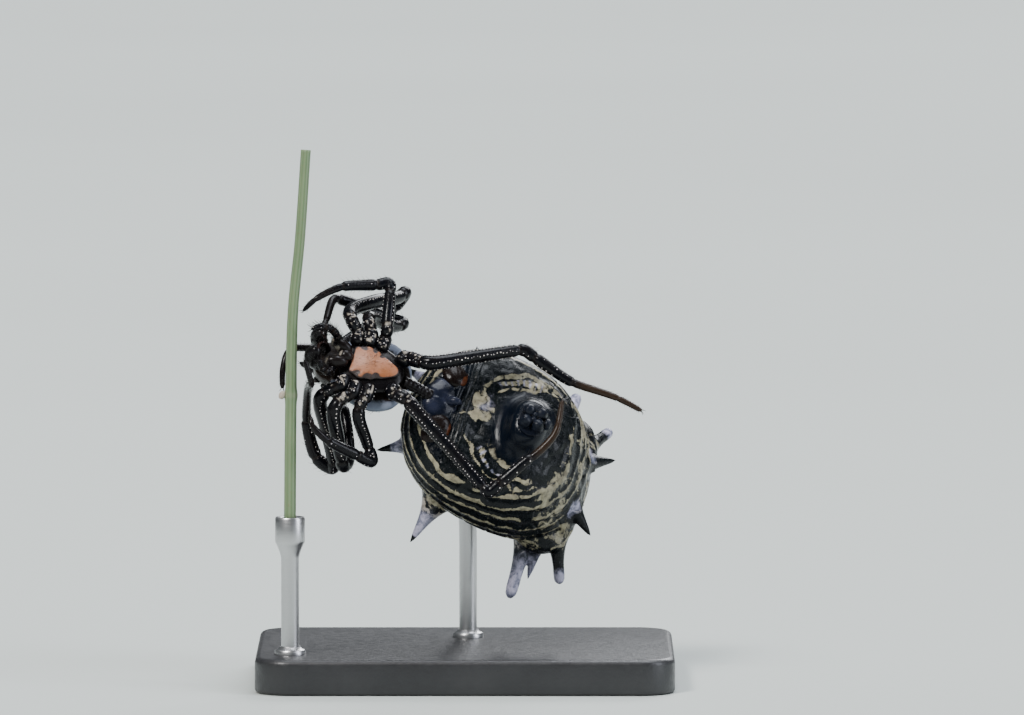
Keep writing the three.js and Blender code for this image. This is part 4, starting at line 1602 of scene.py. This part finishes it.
def make_stem():
    path = Path(STEM_PATH, 0.08)

    def radius(at):
        return curve_at(at, STEM_RADII) + 0.035 * bell(at - STEM_NODE, 0.16)

    stem = tube("perch_stem_skin", path, radius, 10)
    points = points_of(stem)
    near = path.nearest(points)
    off = points - path.points[near]
    turn = np.arctan2((off * path.ups[near]).sum(1), (off * path.sides[near]).sum(1))
    ribs = 0.5 + 0.5 * np.cos(STEM_RIBS * turn)
    bend = 0.012 * noise_at(path.points, 0.9)[near]
    set_points(stem, points + off * (0.09 * (ribs - 0.6) + bend)[:, None])
    paint(stem, ribs, 0.15 * bell(path.at[near] - STEM_NODE, 0.07))
    cover(stem_material(), stem)
    cover(pith_material(), stem)
    for face in stem.data.polygons:
        if len(face.vertices) > 4:
            face.material_index = 1

    def sheath(along, around):
        ring = np.sin(np.pi * along) ** 0.8
        rise = BUD_REACH * np.cos(np.pi * along)
        return (
            0.12 * ring * np.cos(around) - 0.2 * (BUD_REACH - rise),
            0.11 * ring * np.sin(around),
            rise,
        )

    bud = skin("leaf_scar", 20, 20, sheath)
    set_points(bud, points_of(bud) + np.array(STEM_BUD))
    paint(bud, 0.4, 0.9)
    cover(stem_material(), bud)
    finish(join("perch_stem_skin", [stem, bud]), FROM_VIEW, "grass_stem", "perch_stem")


def bevel_edges(piece, wanted, offset, segments):
    """Rounds the edges for which wanted(first end, second end) is true."""
    mesh = piece.data
    bpy.ops.object.mode_set(mode="EDIT")
    bpy.ops.mesh.select_mode(type="EDGE")
    bpy.ops.mesh.select_all(action="DESELECT")
    bpy.ops.object.mode_set(mode="OBJECT")
    for edge in mesh.edges:
        first, second = (mesh.vertices[i].co for i in edge.vertices)
        edge.select = bool(wanted(first, second))
    bpy.ops.object.mode_set(mode="EDIT")
    bpy.ops.mesh.bevel(offset=offset, segments=segments)
    bpy.ops.object.mode_set(mode="OBJECT")


def is_level(a, b):
    return abs(a.z - b.z) < 1e-4


def make_base():
    deselect()
    bpy.ops.mesh.primitive_cube_add(size=1, location=(0, 0, BASE_SIZE[2] / 2), scale=BASE_SIZE)
    base = bpy.context.object
    base.name = "stand_base_block"
    bpy.ops.object.transform_apply(location=True, rotation=True, scale=True)
    bevel_edges(base, lambda a, b: abs(a.z - b.z) > 0.5, settings().base_corner, 14)
    bevel_edges(base, lambda a, b: is_level(a, b) and a.z > 1.0, 0.2, 5)
    bevel_edges(base, lambda a, b: is_level(a, b) and a.z < 1e-4, 0.12, 3)
    activate(base)
    bpy.ops.object.shade_smooth_by_angle(angle=math.radians(SHARP_BASE_EDGE))
    cover(paint_material(), base)
    finish(base, FROM_STAND, "stand_base", "stand_base")


def lathe(name, profile, centre):
    """A solid of revolution about Z from (radius, height) points, closed on the axis."""
    mesh = bpy.data.meshes.new(name)
    points = [(centre[0] + r, centre[1], centre[2] + z) for r, z in profile]
    mesh.from_pydata(points, [(i, i + 1) for i in range(len(points) - 1)], [])
    piece = bpy.data.objects.new(name, mesh)
    bpy.context.collection.objects.link(piece)
    activate(piece)
    bpy.ops.object.mode_set(mode="EDIT")
    bpy.ops.mesh.select_all(action="SELECT")
    bpy.ops.mesh.spin(steps=LATHE_STEPS, angle=2 * math.pi, center=centre, axis=(0, 0, 1))
    bpy.ops.object.mode_set(mode="OBJECT")
    outward(piece)
    return piece


# Radius and height of the low ring where a rod enters the base.
COLLAR_PROFILE = (
    (0.0, 0.0),
    (ROD_RADIUS + 0.22, 0.0),
    (ROD_RADIUS + 0.22, 0.1),
    (ROD_RADIUS + 0.19, 0.15),
    (ROD_RADIUS + 0.1, 0.19),
    (ROD_RADIUS + 0.05, 0.26),
    (0.0, 0.28),
)


def in_stand(point):
    """A point of the viewer's frame in the stand's frame, both in millimetres."""
    return FROM_VIEW @ Vector(point) / MM


def behind_back(distance):
    """A point behind the back of the abdomen, in the stand's frame."""
    return in_stand(ABDOMEN @ (Vector(BACK_PAD) + (distance + ROD_RADIUS) * PAD_OUT))


def finish_rod(name, node, x, y, parts):
    """Adds the collar at the rod's foot and finishes the rod."""
    collar = lathe("collar", COLLAR_PROFILE, (x, y, BASE_SIZE[2]))
    rod = join(name, [*parts, collar])
    activate(rod)
    bpy.ops.object.shade_smooth_by_angle(angle=math.radians(SHARP_ROD_EDGE))
    cover(steel_material(), rod)
    finish(rod, FROM_STAND, "stand_rod", node)


def make_stem_rod():
    """The rod whose socket holds the foot of the stem."""
    foot = in_stand(STEM_PATH[-1])
    rise = foot.z - BASE_SIZE[2]
    profile = (
        (0.0, 0.0),
        (ROD_RADIUS, 0.0),
        (ROD_RADIUS, rise - 1.3),
        (ROD_RADIUS + 0.03, rise - 1.15),
        (SOCKET_RADIUS - 0.05, rise - 0.85),
        (SOCKET_RADIUS - 0.01, rise - 0.78),
        (SOCKET_RADIUS, rise - 0.7),
        (SOCKET_RADIUS, rise + 0.02),
        (SOCKET_RADIUS - 0.03, rise + 0.07),
        (SOCKET_RADIUS - 0.09, rise + 0.08),
        (0.3, rise + 0.04),
        (0.27, rise - 0.02),
        (0.26, rise - 0.35),
        (0.0, rise - 0.36),
    )
    rod = lathe("rod", profile, (foot.x, foot.y, BASE_SIZE[2]))
    finish_rod("stand_rod_stem_turned", "stand_rod_stem", foot.x, foot.y, [rod])


def make_body_rod():
    """The rod that rises behind the abdomen and bends to its back, with a small pad there."""
    elbow = behind_back(1.1)
    top = BASE_SIZE[2]
    stops = [
        (elbow.x, elbow.y, top),
        (elbow.x, elbow.y, 0.5 * (top + elbow.z - 2.5)),
        (elbow.x, elbow.y, elbow.z - 2.5),
        (elbow.x, elbow.y - 0.05, elbow.z - 0.9),
        behind_back(0.75),
        behind_back(0.0),
        behind_back(-0.3),
    ]
    rod = tube("rod", Path(stops, 0.08), lambda at: np.full(len(at), ROD_RADIUS), 8)
    pad_path = Path([behind_back(0.1), behind_back(-0.1), behind_back(-0.34)], 0.04)
    pad = tube("pad", pad_path, lambda at: curve_at(at, PAD_RADII), 8)
    finish_rod("stand_rod_body_bent", "stand_rod_body", elbow.x, elbow.y, [rod, pad])


# Floor, lights and camera

CAMERA_TARGET = (1.567, -2.584, 11.08)
CAMERA_DISTANCE = 350.0
FRAME_WIDTH = 34.13
SENSOR_WIDTH = 36
# Name, place in metres, size, share of the key light's power, and colour of each light.
LIGHTS = (
    ("key", (-0.55, -0.7, 0.95), (0.3, 0.3), 1.0, (1.0, 0.98, 0.96)),
    ("overhead", (0.15, 0.15, 1.1), (0.9, 0.5), 0.7, (0.9, 0.94, 1.0)),
    ("side", (0.9, -0.35, 0.4), (0.3, 0.7), 0.35, (0.86, 0.9, 1.0)),
    ("rear", (0.35, 0.9, 0.6), (0.6, 0.4), 0.4, (0.95, 0.97, 1.0)),
)
SKY_COLOUR = (0.78, 0.84, 0.9)


def add_lights(power):
    """Area lights aimed at the animal."""
    for name, place, size, share, colour in LIGHTS:
        lamp = bpy.data.lights.new(name, "AREA")
        lamp.shape = "RECTANGLE"
        lamp.size, lamp.size_y = size
        lamp.energy = share * power
        lamp.color = colour
        made = bpy.data.objects.new(name, lamp)
        bpy.context.collection.objects.link(made)
        made.location = place
        aim = Vector(CAMERA_TARGET) * MM - Vector(place)
        made.rotation_euler = aim.to_track_quat("-Z", "Y").to_euler()


def add_camera():
    camera = bpy.data.cameras.new("camera")
    camera.sensor_width = SENSOR_WIDTH
    camera.lens = SENSOR_WIDTH * CAMERA_DISTANCE / FRAME_WIDTH
    camera.clip_start, camera.clip_end = 0.01, 20
    eye = bpy.data.objects.new("camera", camera)
    bpy.context.collection.objects.link(eye)
    pitch = math.radians(VIEW_PITCH)
    look = Vector((0, math.cos(pitch), -math.sin(pitch)))
    eye.location = (Vector(CAMERA_TARGET) - CAMERA_DISTANCE * look) * MM
    eye.rotation_euler = (math.radians(90 - VIEW_PITCH), 0, 0)
    bpy.context.scene.camera = eye


def make_stage():
    own = settings()
    deselect()
    bpy.ops.mesh.primitive_plane_add(size=4)
    floor = bpy.context.object
    floor.name = "floor"
    cover(floor_material(), floor)
    add_lights(own.key_power)
    world = bpy.context.scene.world or bpy.data.worlds.new("studio")
    bpy.context.scene.world = world
    world.use_nodes = True
    sky = world.node_tree.nodes["Background"]
    sky.inputs["Color"].default_value = rgba(SKY_COLOUR)
    sky.inputs["Strength"].default_value = own.room_light
    add_camera()


# Settings, operators and panel


def colour_property(name, description, default):
    return bpy.props.FloatVectorProperty(
        name=name, description=description, default=default, subtype="COLOR", min=0, max=1
    )


class OrbWeaverSettings(bpy.types.PropertyGroup):
    """Sizes in millimetres and colours of the model and its stage."""

    skin_cell: bpy.props.FloatProperty(
        name="Skin cell", description="Cell of the abdomen's skin, in millimetres", default=0.048
    )
    ring_gap: bpy.props.FloatProperty(
        name="Ring gap", description="Distance between the flank's rings, in mm", default=0.41
    )
    crease_depth: bpy.props.FloatProperty(
        name="Crease depth", description="Depth of the flank's creases, in mm", default=0.05
    )
    limb_roundness: bpy.props.IntProperty(
        name="Limb roundness", description="Steps in a quarter turn of a leg", default=4
    )
    socket_gap: bpy.props.FloatProperty(
        name="Socket gap", description="Distance between bristle sockets, in mm", default=0.12
    )
    socket_radius: bpy.props.FloatProperty(
        name="Socket radius", description="Radius of a pale bristle socket, in mm", default=0.017
    )
    bristle_length: bpy.props.FloatProperty(
        name="Bristle length", description="Length of the legs' bristles, in mm", default=0.17
    )
    base_corner: bpy.props.FloatProperty(
        name="Base corner", description="Radius of the base's corners, in mm", default=1.2
    )
    key_power: bpy.props.FloatProperty(
        name="Key light", description="Power of the key light", default=17.0, unit="POWER"
    )
    room_light: bpy.props.FloatProperty(
        name="Room light", description="Strength of the light from all round", default=0.14
    )
    cuticle_colour: colour_property("Cuticle", "Legs and jaws", (0.0025, 0.003, 0.005))
    shin_colour: colour_property("Shins", "Outer leg segments and joints", (0.03, 0.018, 0.011))
    # Also the colour of the painted highlights under the leg joints.
    pale_colour: colour_property("Pale marks", "Membranes and inner edges", (0.42, 0.37, 0.31))
    carapace_colour: colour_property("Carapace", "Shield of the back", (0.012, 0.009, 0.008))
    rim_colour: colour_property("Carapace rim", "Pale margin of the shield", (0.2, 0.23, 0.3))
    sternum_colour: colour_property("Sternum", "Shield of the belly", (0.3, 0.1, 0.032))
    ring_dark: colour_property("Dark rings", "Dark rings of the flanks", (0.002, 0.0045, 0.004))
    ring_pale: colour_property("Pale rings", "Pale rings of the flanks", (0.34, 0.31, 0.21))
    back_pale: colour_property("Back", "Pale ground of the back", (0.4, 0.36, 0.32))
    # Also the colour of the painted highlights on the belly.
    spine_white_and_highlight: colour_property("Spines", "White of the spines", (0.5, 0.48, 0.62))
    stem_colour: colour_property("Stem", "Green of the stem", (0.08, 0.15, 0.06))
    base_colour: colour_property("Base", "Paint of the base", (0.022, 0.022, 0.024))
    floor_colour: colour_property("Floor", "Studio floor", (0.56, 0.6, 0.57))


class StageOperator(bpy.types.Operator):
    """Add the floor, the lights and the camera"""

    bl_idname = "orb_weaver.stage"
    bl_label = "Stage"

    def execute(self, context):
        make_stage()
        return {"FINISHED"}


class AbdomenOperator(bpy.types.Operator):
    """Add the abdomen with its spines, plates and spinnerets"""

    bl_idname = "orb_weaver.abdomen"
    bl_label = "Abdomen"

    def execute(self, context):
        make_abdomen()
        make_epigastric_plate()
        make_book_lungs()
        make_spinnerets(bristle_pattern())
        return {"FINISHED"}


class HeadOperator(bpy.types.Operator):
    """Add the carapace, eyes, sternum, mouthparts and jaws"""

    bl_idname = "orb_weaver.head"
    bl_label = "Head and shields"

    def execute(self, context):
        bristle = bristle_pattern()
        make_carapace(bristle)
        make_sternum(bristle)
        make_mouthparts(bristle)
        make_chelicera(bristle, 1, "chelicera_left")
        make_chelicera(bristle, -1, "chelicera_right")
        return {"FINISHED"}


class LimbsOperator(bpy.types.Operator):
    """Add the eight legs, the two palps and the waist"""

    bl_idname = "orb_weaver.limbs"
    bl_label = "Legs and palps"

    def execute(self, context):
        bristle, bead = bristle_pattern(), bead_pattern()
        for name in LEGS:
            make_leg(name, bristle, bead)
        for side in PALPS:
            make_palp(side, bristle, bead)
        make_waist()
        return {"FINISHED"}


class StandOperator(bpy.types.Operator):
    """Add the grass stem, the base and its two rods"""

    bl_idname = "orb_weaver.stand"
    bl_label = "Stem and stand"

    def execute(self, context):
        make_stem()
        make_base()
        make_stem_rod()
        make_body_rod()
        return {"FINISHED"}


class OrbWeaverPanel(bpy.types.Panel):
    """The model's settings and pieces"""

    bl_idname = "VIEW3D_PT_orb_weaver"
    bl_label = "Spined orb weaver"
    bl_space_type = "VIEW_3D"
    bl_region_type = "UI"
    bl_category = "Orb weaver"

    def draw(self, context):
        own = context.scene.orb_weaver
        for name in own.bl_rna.properties.keys():
            if name not in {"rna_type", "name"}:
                self.layout.prop(own, name)
        for operator in OPERATORS:
            self.layout.operator(operator.bl_idname)


OPERATORS = (StageOperator, AbdomenOperator, HeadOperator, LimbsOperator, StandOperator)
CLASSES = (OrbWeaverSettings, *OPERATORS, OrbWeaverPanel)


def register():
    for kind in CLASSES:
        bpy.utils.register_class(kind)
    bpy.types.Scene.orb_weaver = bpy.props.PointerProperty(type=OrbWeaverSettings)


def unregister():
    del bpy.types.Scene.orb_weaver
    for kind in reversed(CLASSES):
        bpy.utils.unregister_class(kind)


def main():
    register()
    bpy.ops.orb_weaver.stage()
    bpy.ops.orb_weaver.abdomen()
    bpy.ops.orb_weaver.head()
    bpy.ops.orb_weaver.limbs()
    bpy.ops.orb_weaver.stand()
    bpy.context.view_layer.update()


if __name__ == "__main__":
    main()
